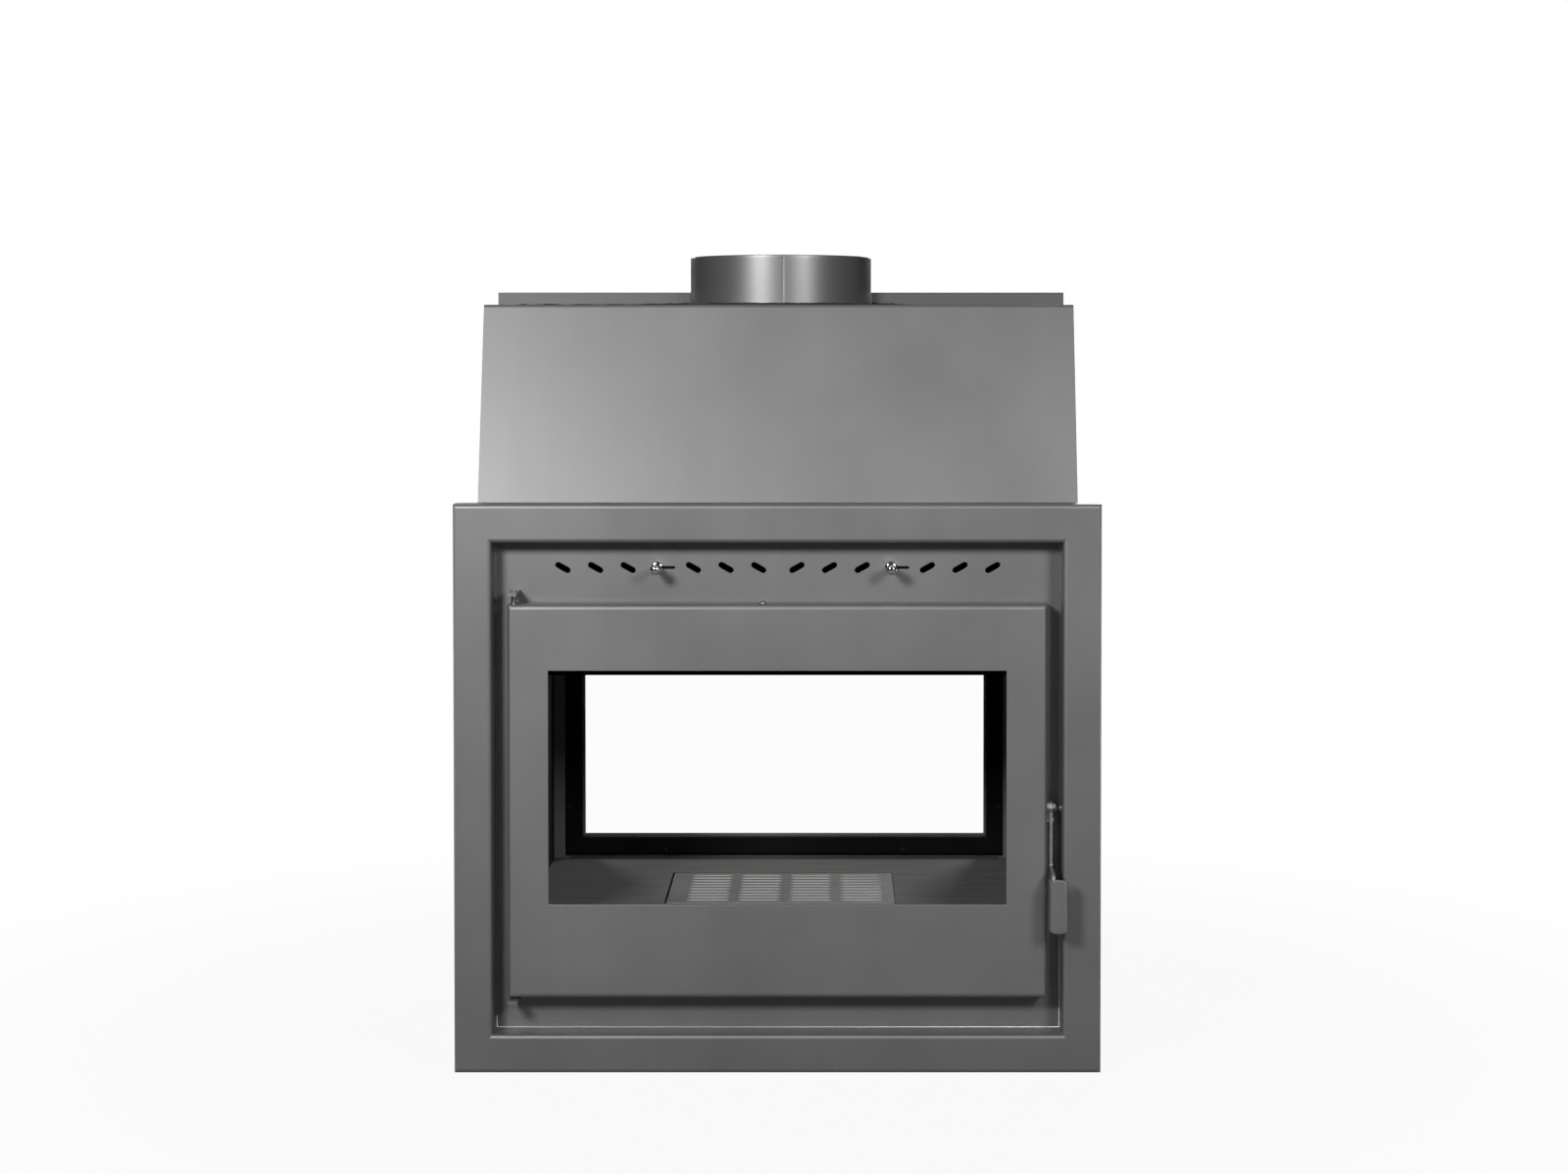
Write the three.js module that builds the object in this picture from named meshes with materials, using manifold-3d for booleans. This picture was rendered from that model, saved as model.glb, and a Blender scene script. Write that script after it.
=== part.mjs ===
// Double-sided wood fireplace in folded sheet steel, with a glazed door on the front and on the rear.
// Millimetres, +Z up. The front faces -Y and the origin is the middle of the underside.

import * as THREE from 'three';
import { mergeVertices } from 'three/addons/utils/BufferGeometryUtils.js';
import Module from 'manifold-3d';

const wasm = await Module();
wasm.setup();

// Outer sizes
const surroundWidth = 840;
const surroundHeight = 740;
const surroundBorder = 50;
const bodyDepth = 550;
const bodyHeight = 1000;
const casingInset = 28;
const flueDiameter = 250;
const flueRise = 68;

// Stock, folds and clearances
const sheet = 3;
const plate = 4;
const foldRadius = 5;
const seatGap = 0.3;
const pinGap = 0.3;
const overrun = 5;

// Depths, measured outwards from the middle of the body
const outerReturn = 40;
const innerReturn = 20;
const faceOut = bodyDepth / 2;
const fasciaOut = faceOut - outerReturn;
const fasciaBack = fasciaOut - sheet;
const carcassOut = fasciaBack - seatGap;
const fasciaTop = surroundHeight - seatGap;
const casingFoot = plate + seatGap;
const casingHalf = surroundWidth / 2 - casingInset;
const flueRadius = flueDiameter / 2;
const flueTop = bodyHeight + flueRise;

// Door and its window
const doorSideGap = 20;
const doorFootGap = 48;
const doorTopGap = 80;
const doorBackGap = 3;
const doorFold = 6;
const windowSideBorder = 53;
const windowFootBorder = 122;
const windowTopBorder = 86;
const doorBack = fasciaOut + doorBackGap;
const panelBack = faceOut - sheet;

// Firebox, hearth and smoke dome
const fireboxSideInset = 10;
const fireboxEndInset = 12;
const mouthLand = 16;
const hearthRise = 80;
const hearthThickness = 5;
const domeSideInset = 40;
const domeDepth = 340;
const domeDrop = 100;

// Grate, chute and ash pan
const grateLength = 310;
const grateDepth = 220;
const grateThickness = 22;
const grateGap = 2;
const grateShift = 1;
const chuteLedge = 6;
const chuteDrop = 32;
const panBeyondChute = 9;
const panBeyondChuteEnd = 32;

// Air slots and their shutter
const slotDrop = 35;
const slotLength = 22;
const slotWidth = 8;
const slotStart = 25;
const slotEndMargin = 89;
const slotShares = [0, 1 / 6, 1 / 3, 2 / 3, 5 / 6, 1];
const knobShare = 1 / 2;
const slotLean = THREE.MathUtils.degToRad(29);
const shutterTravel = 22;
const shutterSheet = 2;
const shutterHeight = 30;
const shutterMargin = 25;
const knobShift = -5;
const knobStem = 3;
const knobSlotGap = 0.6;

// Hinge line of the door
const hingeInset = 7.1;
const hingeBehindFace = 17;
const hingePin = 7;
const bracketWidth = 12.6;
const bracketThickness = 5;
const bracketBeyondFace = 10;
const bracketRise = 11;
const bracketDrop = 2.3;

// Handle pivot on the latch edge of the door
const pivotRise = 246;
const pivotBehindFace = 17.5;
const pivotPin = 6;
const keeperBack = 12.5;
const keeperDrop = 3.6;
const keeperPin = 6;

// Segments of round work
const flueSteps = 64;
const pinSteps = 16;
const screwSteps = 8;
const bendSteps = 4;
const slotEndSteps = 4;

const surroundRect = rect(-surroundWidth / 2, surroundWidth / 2, 0, surroundHeight);
const openingRect = inset(surroundRect, surroundBorder);
const doorRect = rect(
	openingRect.left + doorSideGap,
	openingRect.right - doorSideGap,
	openingRect.bottom + doorFootGap,
	openingRect.top - doorTopGap
);
const windowRect = rect(
	doorRect.left + windowSideBorder,
	doorRect.right - windowSideBorder,
	doorRect.bottom + windowFootBorder,
	doorRect.top - windowTopBorder
);
const fireboxHalf = doorRect.right - fireboxSideInset;
const fireboxFoot = doorRect.bottom + fireboxEndInset;
const fireboxTop = doorRect.top - fireboxEndInset;
const fireboxFloor = fireboxFoot + plate;
const fireboxCeiling = fireboxTop - plate;
const hearthTop = fireboxFoot + hearthRise;
const hearthFoot = hearthTop - hearthThickness;
const domeWidth = 2 * (fireboxHalf - domeSideInset);
const domeTop = bodyHeight - domeDrop;
const mouthRect = rect(mouthLand - fireboxHalf, fireboxHalf - mouthLand, fireboxFloor, fireboxCeiling);
const hingeOut = faceOut - hingeBehindFace;
const pivotUp = doorRect.bottom + pivotRise;
const pivotOut = faceOut - pivotBehindFace;
const slotLine = openingRect.top - slotDrop;
const slotEnd = openingRect.right - slotEndMargin;
const shutterReach = slotEnd + slotLength / 2 + shutterMargin;
const knobPlaces = [knobShift - slotAt(knobShare), knobShift + slotAt(knobShare)];

// The place of a slot or knob between the first slot and the last
function slotAt(share) {
	return THREE.MathUtils.lerp(slotStart, slotEnd, share);
}

// Flat outlines

function at(x, y) {
	return new THREE.Vector2(x, y);
}

function rect(left, right, bottom, top) {
	return { left, right, bottom, top };
}

function inset(r, by) {
	return rect(r.left + by, r.right - by, r.bottom + by, r.top - by);
}

function centred(width, height) {
	return rect(-width / 2, width / 2, -height / 2, height / 2);
}

function corners(r) {
	return [at(r.left, r.bottom), at(r.right, r.bottom), at(r.right, r.top), at(r.left, r.top)];
}

function arc(centre, radius, fromDegrees, toDegrees, steps) {
	const points = [];
	for (let step = 0; step <= steps; step++) {
		const angle = THREE.MathUtils.degToRad(fromDegrees + ((toDegrees - fromDegrees) * step) / steps);
		points.push(at(centre.x + radius * Math.cos(angle), centre.y + radius * Math.sin(angle)));
	}
	return points;
}

function circle(centre, radius, steps = pinSteps) {
	return arc(centre, radius, 0, 360, steps).slice(1);
}

// A slot with round ends, its length leaning by an angle
function slot(centre, length, width, lean = 0, steps = slotEndSteps) {
	const reach = at((length - width) / 2, 0).rotateAround(at(0, 0), lean);
	const degrees = THREE.MathUtils.radToDeg(lean);
	const right = arc(centre.clone().add(reach), width / 2, degrees - 90, degrees + 90, steps);
	const left = arc(centre.clone().sub(reach), width / 2, degrees + 90, degrees + 270, steps);
	return [...right, ...left];
}

// The section of a folded sheet, given the line of one surface with the sheet on its left
function folded(line, thickness, radius = foldRadius) {
	const near = [];
	const far = [];
	const leftOf = (direction) => at(-direction.y, direction.x);
	line.forEach((corner, i) => {
		const before = line[i - 1];
		const after = line[i + 1];
		const arriving = before && corner.clone().sub(before).normalize();
		const leaving = after && after.clone().sub(corner).normalize();
		if (!before || !after) {
			near.push(corner.clone());
			far.push(corner.clone().addScaledVector(leftOf(arriving || leaving), thickness));
			return;
		}
		const turn = Math.atan2(arriving.cross(leaving), arriving.dot(leaving));
		const side = Math.sign(turn);
		const nearRadius = side > 0 ? radius : radius - thickness;
		const farRadius = side > 0 ? radius - thickness : radius;
		const start = corner.clone().addScaledVector(arriving, -nearRadius * Math.tan(Math.abs(turn) / 2));
		const centre = start.addScaledVector(leftOf(arriving), side * nearRadius);
		for (let step = 0; step <= bendSteps; step++) {
			const arm = leftOf(arriving).multiplyScalar(-side).rotateAround(at(0, 0), (turn * step) / bendSteps);
			near.push(centre.clone().addScaledVector(arm, nearRadius));
			far.push(centre.clone().addScaledVector(arm, farRadius));
		}
	});
	return [...near, ...far.reverse()];
}

// Forms

function prism(outline, length) {
	return new THREE.ExtrudeGeometry(new THREE.Shape(outline), { depth: length, bevelEnabled: false });
}

function extruded(outline, holes, length) {
	const tools = holes.map((hole) => prism(hole, length + 2 * overrun).translate(0, 0, -overrun));
	return cut(prism(outline, length), ...tools);
}

// An outline in x and y, run along z
function alongZ(outline, from, to, holes = []) {
	return extruded(outline, holes, to - from).translate(0, 0, from);
}

// An outline in x and z, run along y
function alongY(outline, from, to, holes = []) {
	return extruded(outline, holes, to - from).rotateX(Math.PI / 2).translate(0, to, 0);
}

// An outline in y and z, run along x
function alongX(outline, from, to, holes = []) {
	const run = extruded(outline, holes, to - from).rotateX(Math.PI / 2).rotateZ(Math.PI / 2);
	return run.translate(from, 0, 0);
}

// A profile of radius and height turned about y, z or x
function turnedY(profile, steps = pinSteps) {
	return new THREE.LatheGeometry(profile, steps);
}

function turnedZ(profile, steps = pinSteps) {
	return turnedY(profile, steps).rotateX(Math.PI / 2);
}

function turnedX(profile, steps = pinSteps) {
	return turnedY(profile, steps).rotateZ(-Math.PI / 2);
}

function rod(radius, from, to) {
	return [at(0, from), at(radius, from), at(radius, to), at(0, to)];
}

// A section carried round a rectangle with mitred corners: x is the inset from its edge, y the height
function framed(section, rectAt) {
	const round = THREE.ShapeUtils.area(section) > 0 ? section : [...section].reverse();
	const positions = [];
	const index = [];
	round.forEach((point, i) => {
		corners(rectAt(point)).forEach((corner) => positions.push(corner.x, corner.y, point.y));
		const here = i * 4;
		const next = ((i + 1) % round.length) * 4;
		for (let k = 0; k < 4; k++) {
			const l = (k + 1) % 4;
			index.push(here + k, next + k, next + l, here + k, next + l, here + l);
		}
	});
	const geometry = new THREE.BufferGeometry();
	geometry.setAttribute('position', new THREE.Float32BufferAttribute(positions, 3));
	geometry.setIndex(index);
	geometry.computeVertexNormals();
	return geometry;
}

function block(x, y, z) {
	const box = new THREE.BoxGeometry(x[1] - x[0], y[1] - y[0], z[1] - z[0]);
	return box.translate((x[0] + x[1]) / 2, (y[0] + y[1]) / 2, (z[0] + z[1]) / 2);
}

// Joining and cutting

function solid(geometry) {
	const bare = geometry.clone();
	bare.deleteAttribute('normal');
	bare.deleteAttribute('uv');
	const merged = mergeVertices(bare);
	const corner = merged.index.array;
	const triangles = [];
	for (let i = 0; i < corner.length; i += 3) {
		const [a, b, c] = [corner[i], corner[i + 1], corner[i + 2]];
		if (a !== b && b !== c && c !== a) triangles.push(a, b, c);
	}
	const vertProperties = Float32Array.from(merged.attributes.position.array);
	const triVerts = Uint32Array.from(triangles);
	return new wasm.Manifold(new wasm.Mesh({ numProp: 3, vertProperties, triVerts }));
}

function geometryOf(body) {
	const mesh = body.getMesh();
	const geometry = new THREE.BufferGeometry();
	geometry.setAttribute('position', new THREE.BufferAttribute(Float32Array.from(mesh.vertProperties), 3));
	geometry.setIndex(new THREE.BufferAttribute(Uint32Array.from(mesh.triVerts), 1));
	geometry.computeVertexNormals();
	return geometry;
}

function joined(...geometries) {
	return geometryOf(geometries.map(solid).reduce((whole, next) => whole.add(next)));
}

function cut(geometry, ...tools) {
	return geometryOf(tools.map(solid).reduce((whole, tool) => whole.subtract(tool), solid(geometry)));
}

function common(geometry, other) {
	return geometryOf(solid(geometry).intersect(solid(other)));
}

// Materials

function satinSteel() {
	return new THREE.MeshStandardMaterial({ color: 0x8e8e8e, roughness: 0.5, metalness: 0.7 });
}

function innerSteel() {
	return new THREE.MeshStandardMaterial({ color: 0x3c3b3a, roughness: 0.75, metalness: 0.4 });
}

function castIron() {
	return new THREE.MeshStandardMaterial({ color: 0x6c6b69, roughness: 0.7, metalness: 0.5 });
}

function polishedChrome() {
	return new THREE.MeshStandardMaterial({ color: 0xdadada, roughness: 0.08, metalness: 1 });
}

function zincSteel() {
	return new THREE.MeshStandardMaterial({ color: 0xa8a8a6, roughness: 0.35, metalness: 0.9 });
}

function sealRope() {
	return new THREE.MeshStandardMaterial({ color: 0x2c2c2b, roughness: 1, metalness: 0 });
}

function ceramicGlass() {
	const look = { color: 0xe6ecea, roughness: 0.04, metalness: 0, transparent: true, opacity: 0.25 };
	return new THREE.MeshStandardMaterial(look);
}

// Body: base plate, casing sides and hood

const intakeRim = 12;
const intakeWidth = 90;
const intakeEnd = 51.7;

function basePlate() {
	const outer = casingHalf - intakeRim;
	const reach = carcassOut - intakeEnd;
	const right = rect(outer - intakeWidth, outer, -reach, reach);
	const left = rect(-right.right, -right.left, right.bottom, right.top);
	const outline = corners(centred(2 * casingHalf, 2 * carcassOut));
	return alongZ(outline, 0, plate, [corners(left), corners(right)]);
}

const casingFlange = 20;

function casingSide() {
	const line = [
		at(casingHalf - casingFlange, carcassOut),
		at(casingHalf, carcassOut),
		at(casingHalf, -carcassOut),
		at(casingHalf - casingFlange, -carcassOut)
	].reverse();
	return alongZ(folded(line, sheet), casingFoot, fasciaTop);
}

const hoodTopDepth = 326;
const seamHeight = 20;
const hoodShoulder = hoodTopDepth / 2;
const hoodFall = at(fasciaOut - hoodShoulder, bodyHeight - surroundHeight);

// Half of the hood: a sloping front, half of the flat top and one leaf of the standing seam
function hoodHalf() {
	const seam = -(seatGap / 2 + sheet);
	const below = hoodFall.clone().setLength(hoodFall.length() + overrun);
	const line = [
		at(seam, bodyHeight + seamHeight),
		at(seam, bodyHeight),
		at(-hoodShoulder, bodyHeight),
		at(-hoodShoulder - below.x, bodyHeight - below.y)
	];
	const sheetMetal = alongX(folded(line, sheet), -casingHalf, casingHalf);
	const across = [-casingHalf - overrun, casingHalf + overrun];
	const foot = block(across, [-bodyDepth, 0], [surroundHeight - 2 * overrun, surroundHeight]);
	const hole = rod(flueRadius + seatGap, bodyHeight - overrun, bodyHeight + seamHeight + overrun);
	const collarCut = turnedZ(hole, flueSteps);
	return cut(sheetMetal, foot, collarCut);
}

function hoodSide() {
	const slant = Math.hypot(hoodFall.x, hoodFall.y) / hoodFall.y;
	const clear = (sheet + seatGap) * slant;
	const top = bodyHeight - sheet - seatGap;
	const outerAt = (z) => fasciaOut - (hoodFall.x * (z - surroundHeight)) / hoodFall.y;
	const half = [
		at(outerAt(surroundHeight) - clear, surroundHeight),
		at(outerAt(top - foldRadius) - clear, top - foldRadius),
		at(outerAt(top) - clear - foldRadius, top)
	];
	const otherHalf = half.map((point) => at(-point.x, point.y)).reverse();
	return alongX([...half, ...otherHalf], casingHalf - sheet, casingHalf);
}

const collarSeamPlace = 4.3;
const collarSeamWidth = 1.2;
const collarSeamDepth = 0.8;
const collarSeamRim = 5;
const collarRimRound = 1;

// Flue collar with its rolled seam at the front
function flueCollar() {
	const bore = flueRadius - sheet;
	const foot = domeTop + seatGap;
	const profile = [
		at(bore, foot),
		at(flueRadius, foot),
		at(flueRadius, flueTop - collarRimRound),
		at(flueRadius - collarRimRound, flueTop),
		at(bore + collarRimRound, flueTop),
		at(bore, flueTop - collarRimRound),
		at(bore, foot)
	];
	const pipe = turnedZ(profile, flueSteps);
	const groove = block(
		[collarSeamPlace - collarSeamWidth / 2, collarSeamPlace + collarSeamWidth / 2],
		[-flueRadius - overrun, collarSeamDepth - flueRadius],
		[bodyHeight + seatGap, flueTop - collarSeamRim]
	);
	return cut(pipe, groove);
}

// Smoke dome: a sheet metal square-to-round, with four flat triangles and four quarter cones
function smokeDome() {
	const foot = fireboxTop + seatGap;
	const quarter = flueSteps / 4;
	const positions = [];
	const index = [];
	const skins = [0, sheet].map((wall) => {
		const first = positions.length / 3;
		const base = inset(centred(domeWidth, domeDepth), wall);
		const turned = [[1, 1], [-1, 1], [-1, -1], [1, -1]];
		turned.forEach(([x, y]) => positions.push(x * base.right, y * base.top, foot));
		circle(at(0, 0), flueRadius - wall, flueSteps).forEach((p) => positions.push(p.x, p.y, domeTop));
		const corner = (q) => first + (q % 4);
		const rim = (k) => first + 4 + ((k + flueSteps - 1) % flueSteps);
		return { corner, rim };
	});
	const [outer, inner] = skins;
	for (let q = 0; q < 4; q++) {
		const middle = q * quarter;
		index.push(outer.corner(q + 3), outer.corner(q), outer.rim(middle));
		index.push(inner.corner(q), inner.corner(q + 3), inner.rim(middle));
		index.push(outer.corner(q), inner.corner(q), inner.corner(q + 1));
		index.push(outer.corner(q), inner.corner(q + 1), outer.corner(q + 1));
		for (let k = middle; k < middle + quarter; k++) {
			index.push(outer.corner(q), outer.rim(k + 1), outer.rim(k));
			index.push(inner.corner(q), inner.rim(k), inner.rim(k + 1));
			index.push(outer.rim(k), outer.rim(k + 1), inner.rim(k + 1));
			index.push(outer.rim(k), inner.rim(k + 1), inner.rim(k));
		}
	}
	const geometry = new THREE.BufferGeometry();
	geometry.setAttribute('position', new THREE.Float32BufferAttribute(positions, 3));
	geometry.setIndex(index);
	geometry.computeVertexNormals();
	return geometry;
}

// Firebox

const standEndInset = 11.7;
const standCrown = 470;
const standFoot = 18;

// Stand: one sheet folded into a wide channel with turned-out feet, which carries the firebox
function fireboxStand() {
	const reach = carcassOut - standEndInset;
	const top = fireboxFoot - seatGap;
	const line = [
		at(-standCrown / 2 - standFoot, casingFoot),
		at(-standCrown / 2, casingFoot),
		at(-standCrown / 2, top - sheet),
		at(standCrown / 2, top - sheet),
		at(standCrown / 2, casingFoot),
		at(standCrown / 2 + standFoot, casingFoot)
	];
	return alongY(folded(line, sheet), -reach, reach);
}

const runnerGap = 1;
const panHalfWidth = (grateLength + 2 * grateGap) / 2 + chuteLedge + panBeyondChute;
const runnerFoot = 16;
const runnerHeight = 12;

// Firebox floor with the two angle runners that carry and guide the ash pan
function fireboxBase() {
	const floor = alongZ(corners(centred(2 * (fireboxHalf - seatGap), 2 * carcassOut)), fireboxFoot, fireboxFloor);
	const guide = panHalfWidth + runnerGap;
	const level = fireboxFloor - sheet / 2;
	const angle = [
		at(guide - runnerFoot, level),
		at(guide + sheet, level),
		at(guide + sheet, fireboxFloor + runnerHeight),
		at(guide, fireboxFloor + runnerHeight),
		at(guide, fireboxFloor + sheet),
		at(guide - runnerFoot, fireboxFloor + sheet)
	];
	const opposite = angle.map((point) => at(-point.x, point.y));
	const runners = [angle, opposite].map((outline) => alongY(outline, -carcassOut, carcassOut));
	return joined(floor, ...runners);
}

const baffleFlat = 120;
const baffleDrop = 42;
const baffleUnder = fireboxTop - baffleDrop;
const baffleInset = 20;
const wallLedge = 15;
const baffleLugLength = 30;
const baffleLugInset = 5;

// Firebox side wall, with the wallLedge that carries the hearth and the lugs that carry the baffle
function fireboxWall() {
	const ledgeTop = hearthFoot - seatGap;
	const outline = [
		at(fireboxHalf + plate, fireboxFoot),
		at(fireboxHalf + plate, fireboxTop),
		at(fireboxHalf, fireboxTop),
		at(fireboxHalf, ledgeTop),
		at(fireboxHalf - wallLedge, ledgeTop),
		at(fireboxHalf - wallLedge, ledgeTop - plate),
		at(fireboxHalf, ledgeTop - plate),
		at(fireboxHalf, fireboxFoot)
	];
	const lugOuter = baffleFlat / 2 - baffleLugInset;
	const lugTop = baffleUnder - seatGap;
	const lugX = [fireboxHalf - wallLedge, fireboxHalf + plate / 2];
	const lugZ = [lugTop - plate, lugTop];
	const rearLug = block(lugX, [lugOuter - baffleLugLength, lugOuter], lugZ);
	const frontLug = block(lugX, [-lugOuter, baffleLugLength - lugOuter], lugZ);
	return joined(alongY(outline, -carcassOut, carcassOut), rearLug, frontLug);
}

const domeLap = 15;

function fireboxRoof() {
	const outline = corners(centred(2 * (fireboxHalf - seatGap), 2 * carcassOut));
	const throat = corners(inset(centred(domeWidth, domeDepth), domeLap));
	return alongZ(outline, fireboxCeiling, fireboxTop, [throat]);
}

const baffleRise = 19;
const baffleSideGap = 1.5;

function bafflePlate() {
	const reach = domeDepth / 2 - baffleInset;
	const line = [
		at(-reach, baffleUnder + baffleRise),
		at(-baffleFlat / 2, baffleUnder),
		at(baffleFlat / 2, baffleUnder),
		at(reach, baffleUnder + baffleRise)
	];
	return alongX(folded(line, plate), baffleSideGap - fireboxHalf, fireboxHalf - baffleSideGap);
}

const hearthOpening = centred(grateLength + 2 * grateGap, grateDepth + 2 * grateGap);
const grateLip = 8;

// Chute welded below the hearth, with the inner grateLip that carries the grate
function ashChute() {
	const top = hearthFoot + sheet;
	const lipTop = hearthTop - grateThickness - seatGap;
	const section = [
		at(0, hearthFoot - chuteDrop),
		at(sheet, hearthFoot - chuteDrop),
		at(sheet, lipTop - sheet),
		at(sheet + grateLip, lipTop - sheet),
		at(sheet + grateLip, lipTop),
		at(sheet, lipTop),
		at(sheet, top),
		at(0, top)
	];
	const outer = inset(hearthOpening, -chuteLedge);
	return framed(section, (point) => inset(outer, point.x));
}

const apronReach = 12;
const apronInset = 6;

// Hearth floor, with its chute and an apron that runs out through each mouth of the firebox
function hearthFloor() {
	const apronOut = fasciaOut + apronReach;
	const wide = fireboxHalf - seatGap;
	const apron = mouthRect.right - apronInset;
	const quarter = [at(wide, carcassOut), at(apron, carcassOut), at(apron, apronOut)];
	const outline = [
		...quarter,
		...quarter.map((p) => at(-p.x, p.y)).reverse(),
		...quarter.map((p) => at(-p.x, -p.y)),
		...quarter.map((p) => at(p.x, -p.y)).reverse()
	];
	return joined(alongZ(outline, hearthFoot, hearthTop, [corners(hearthOpening)]), ashChute());
}

const grateEndBorder = 10;
const grateLeftBorder = 20;
const grateRightBorder = 10;
const ribWidth = 12;
const barWidth = 10;
const grateRows = 10;
const grateColumns = 4;
const grateCornerCut = 3;
const airGapSteps = 3;

// Grate: a flat casting with grateRows of slots that leave bars across it
function grate() {
	const barPitch = (grateDepth - 2 * grateEndBorder) / grateRows;
	const ribPitch = (grateLength - grateLeftBorder - grateRightBorder) / grateColumns;
	const fieldShift = (grateLeftBorder - grateRightBorder) / 2;
	const half = at(grateLength / 2, grateDepth / 2);
	const outline = [
		at(half.x - grateCornerCut, -half.y),
		at(half.x, grateCornerCut - half.y),
		at(half.x, half.y - grateCornerCut),
		at(half.x - grateCornerCut, half.y),
		at(grateCornerCut - half.x, half.y),
		at(-half.x, half.y - grateCornerCut),
		at(-half.x, grateCornerCut - half.y),
		at(grateCornerCut - half.x, -half.y)
	];
	const slots = [];
	for (let row = 0; row < grateRows; row++) {
		for (let column = 0; column < grateColumns; column++) {
			const x = fieldShift + (column - (grateColumns - 1) / 2) * ribPitch;
			const y = (row - (grateRows - 1) / 2) * barPitch;
			slots.push(slot(at(x, y), ribPitch - ribWidth, barPitch - barWidth, 0, airGapSteps));
		}
	}
	return alongZ(outline, -grateThickness, 0, slots);
}

const panSheet = 1.5;
const panRim = 6;
const panChuteGap = 4;

// Ash pan: a tray with a panRim turned outwards
function ashPan() {
	const reach = grateDepth / 2 + grateGap + chuteLedge + panBeyondChuteEnd;
	const top = hearthFoot - chuteDrop - panChuteGap;
	const foot = fireboxFloor + sheet + seatGap;
	const inside = [sheet + seatGap - panHalfWidth, panHalfWidth - sheet - seatGap];
	const section = [
		at(0, top - panSheet),
		at(0, top),
		at(panRim + panSheet, top),
		at(panRim + panSheet, foot),
		at(panRim, foot),
		at(panRim, top - panSheet)
	];
	const outer = rect(inside[0] - panRim, inside[1] + panRim, -reach, reach);
	const side = framed(section, (point) => inset(outer, point.x));
	const floor = alongZ(corners(inset(outer, panRim + panSheet / 2)), foot, foot + panSheet);
	return joined(side, floor);
}

// Pieces of one face, drawn with x to the right, y up and z outwards

function surround() {
	const line = [
		at(surroundBorder, faceOut - innerReturn),
		at(surroundBorder, faceOut),
		at(0, faceOut),
		at(0, fasciaOut)
	];
	return framed(folded(line, sheet), (point) => inset(surroundRect, point.x));
}

// The air slots: two groups of three on each side, leaning away from the middle
function slotPlaces() {
	return [-1, 1].flatMap((side) => slotShares.map((share) => ({ x: side * slotAt(share), lean: side * slotLean })));
}

function airSlots(line) {
	return slotPlaces().map((place) => slot(at(place.x, line), slotLength, slotWidth, place.lean));
}

// The slot that a knob's stem runs in while the shutter closes
function knobSlot(x) {
	const height = knobStem + knobSlotGap;
	const length = shutterTravel + knobStem + 2 * knobSlotGap;
	return slot(at(x + shutterTravel / 2, slotLine), length, height);
}

const railBeyondShutter = 45;
const railLip = 6;
const railWeb = 9;
const railSheet = 3;

// Rails welded behind the fascia, which hold the shutter's two edges
function shutterRail(side) {
	const reach = shutterReach + railBeyondShutter;
	const edge = shutterHeight / 2 + seatGap;
	const lipFront = carcassOut - shutterSheet - seatGap;
	const outline = [
		at(slotLine + side * (edge - railLip), lipFront - railSheet),
		at(slotLine + side * (edge + railWeb), lipFront - railSheet),
		at(slotLine + side * (edge + railWeb), fasciaBack + sheet / 2),
		at(slotLine + side * edge, fasciaBack + sheet / 2),
		at(slotLine + side * edge, lipFront),
		at(slotLine + side * (edge - railLip), lipFront)
	];
	return alongX(outline, -reach, reach);
}

// Fascia: the recessed panel with the firebox mouth and air slots, and a lip that meets the surround
function fascia() {
	const outline = corners(rect(-casingHalf, casingHalf, 0, fasciaTop));
	const holes = [corners(mouthRect), ...airSlots(slotLine), ...knobPlaces.map(knobSlot)];
	const panel = alongZ(outline, fasciaBack, fasciaOut, holes);
	const lipBack = fasciaOut - sheet / 2;
	const lipFront = faceOut - innerReturn - seatGap;
	const lip = [at(0, lipBack), at(0, lipFront), at(sheet, lipFront), at(sheet, lipBack)];
	const lipRect = inset(openingRect, -sheet);
	const lipRing = framed(lip, (point) => inset(lipRect, point.x));
	return joined(panel, lipRing, shutterRail(-1), shutterRail(1));
}

const washStandoff = 12.7;
const washLip = 11;
const washKick = 7;

// Air wash plate: hangs behind the top of the window and turns the incoming air down over the glass
function airWashPlate() {
	const back = carcassOut - washStandoff;
	const turn = windowRect.top;
	const line = [at(turn - washLip, back + washKick), at(turn, back), at(fireboxCeiling - seatGap, back)];
	return alongX(folded(line, sheet), seatGap - fireboxHalf, fireboxHalf - seatGap);
}

const bracketBack = fasciaOut + seatGap - hingeOut;
const bracketFront = hingeBehindFace + bracketBeyondFace;
const pinRadius = hingePin / 2;

// Hinge bracket: a flat lug standing out from the fascia, bored for its pin
function hingeBracket(from) {
	const outline = corners(rect(-bracketWidth / 2, bracketWidth / 2, bracketBack, bracketFront));
	const bore = circle(at(0, 0), pinRadius + pinGap);
	return alongY(outline, from, from + bracketThickness, [bore]);
}

const upperBracketFoot = doorRect.top + bracketRise;
const lowerBracketFoot = doorRect.bottom - bracketDrop - bracketThickness;
const pinEngagement = 4.5;
const pinChamfer = 0.8;

// Upper hinge pin: drops through its bracket into the door's top edge
function upperPin() {
	const tip = doorRect.top - pinEngagement;
	const top = upperBracketFoot + bracketThickness;
	return turnedY([
		at(0, tip),
		at(pinRadius - pinChamfer, tip),
		at(pinRadius, tip + pinChamfer),
		at(pinRadius, top),
		at(0, top)
	]);
}

const pinShoulder = 12;
const pinTail = 3;

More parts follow.
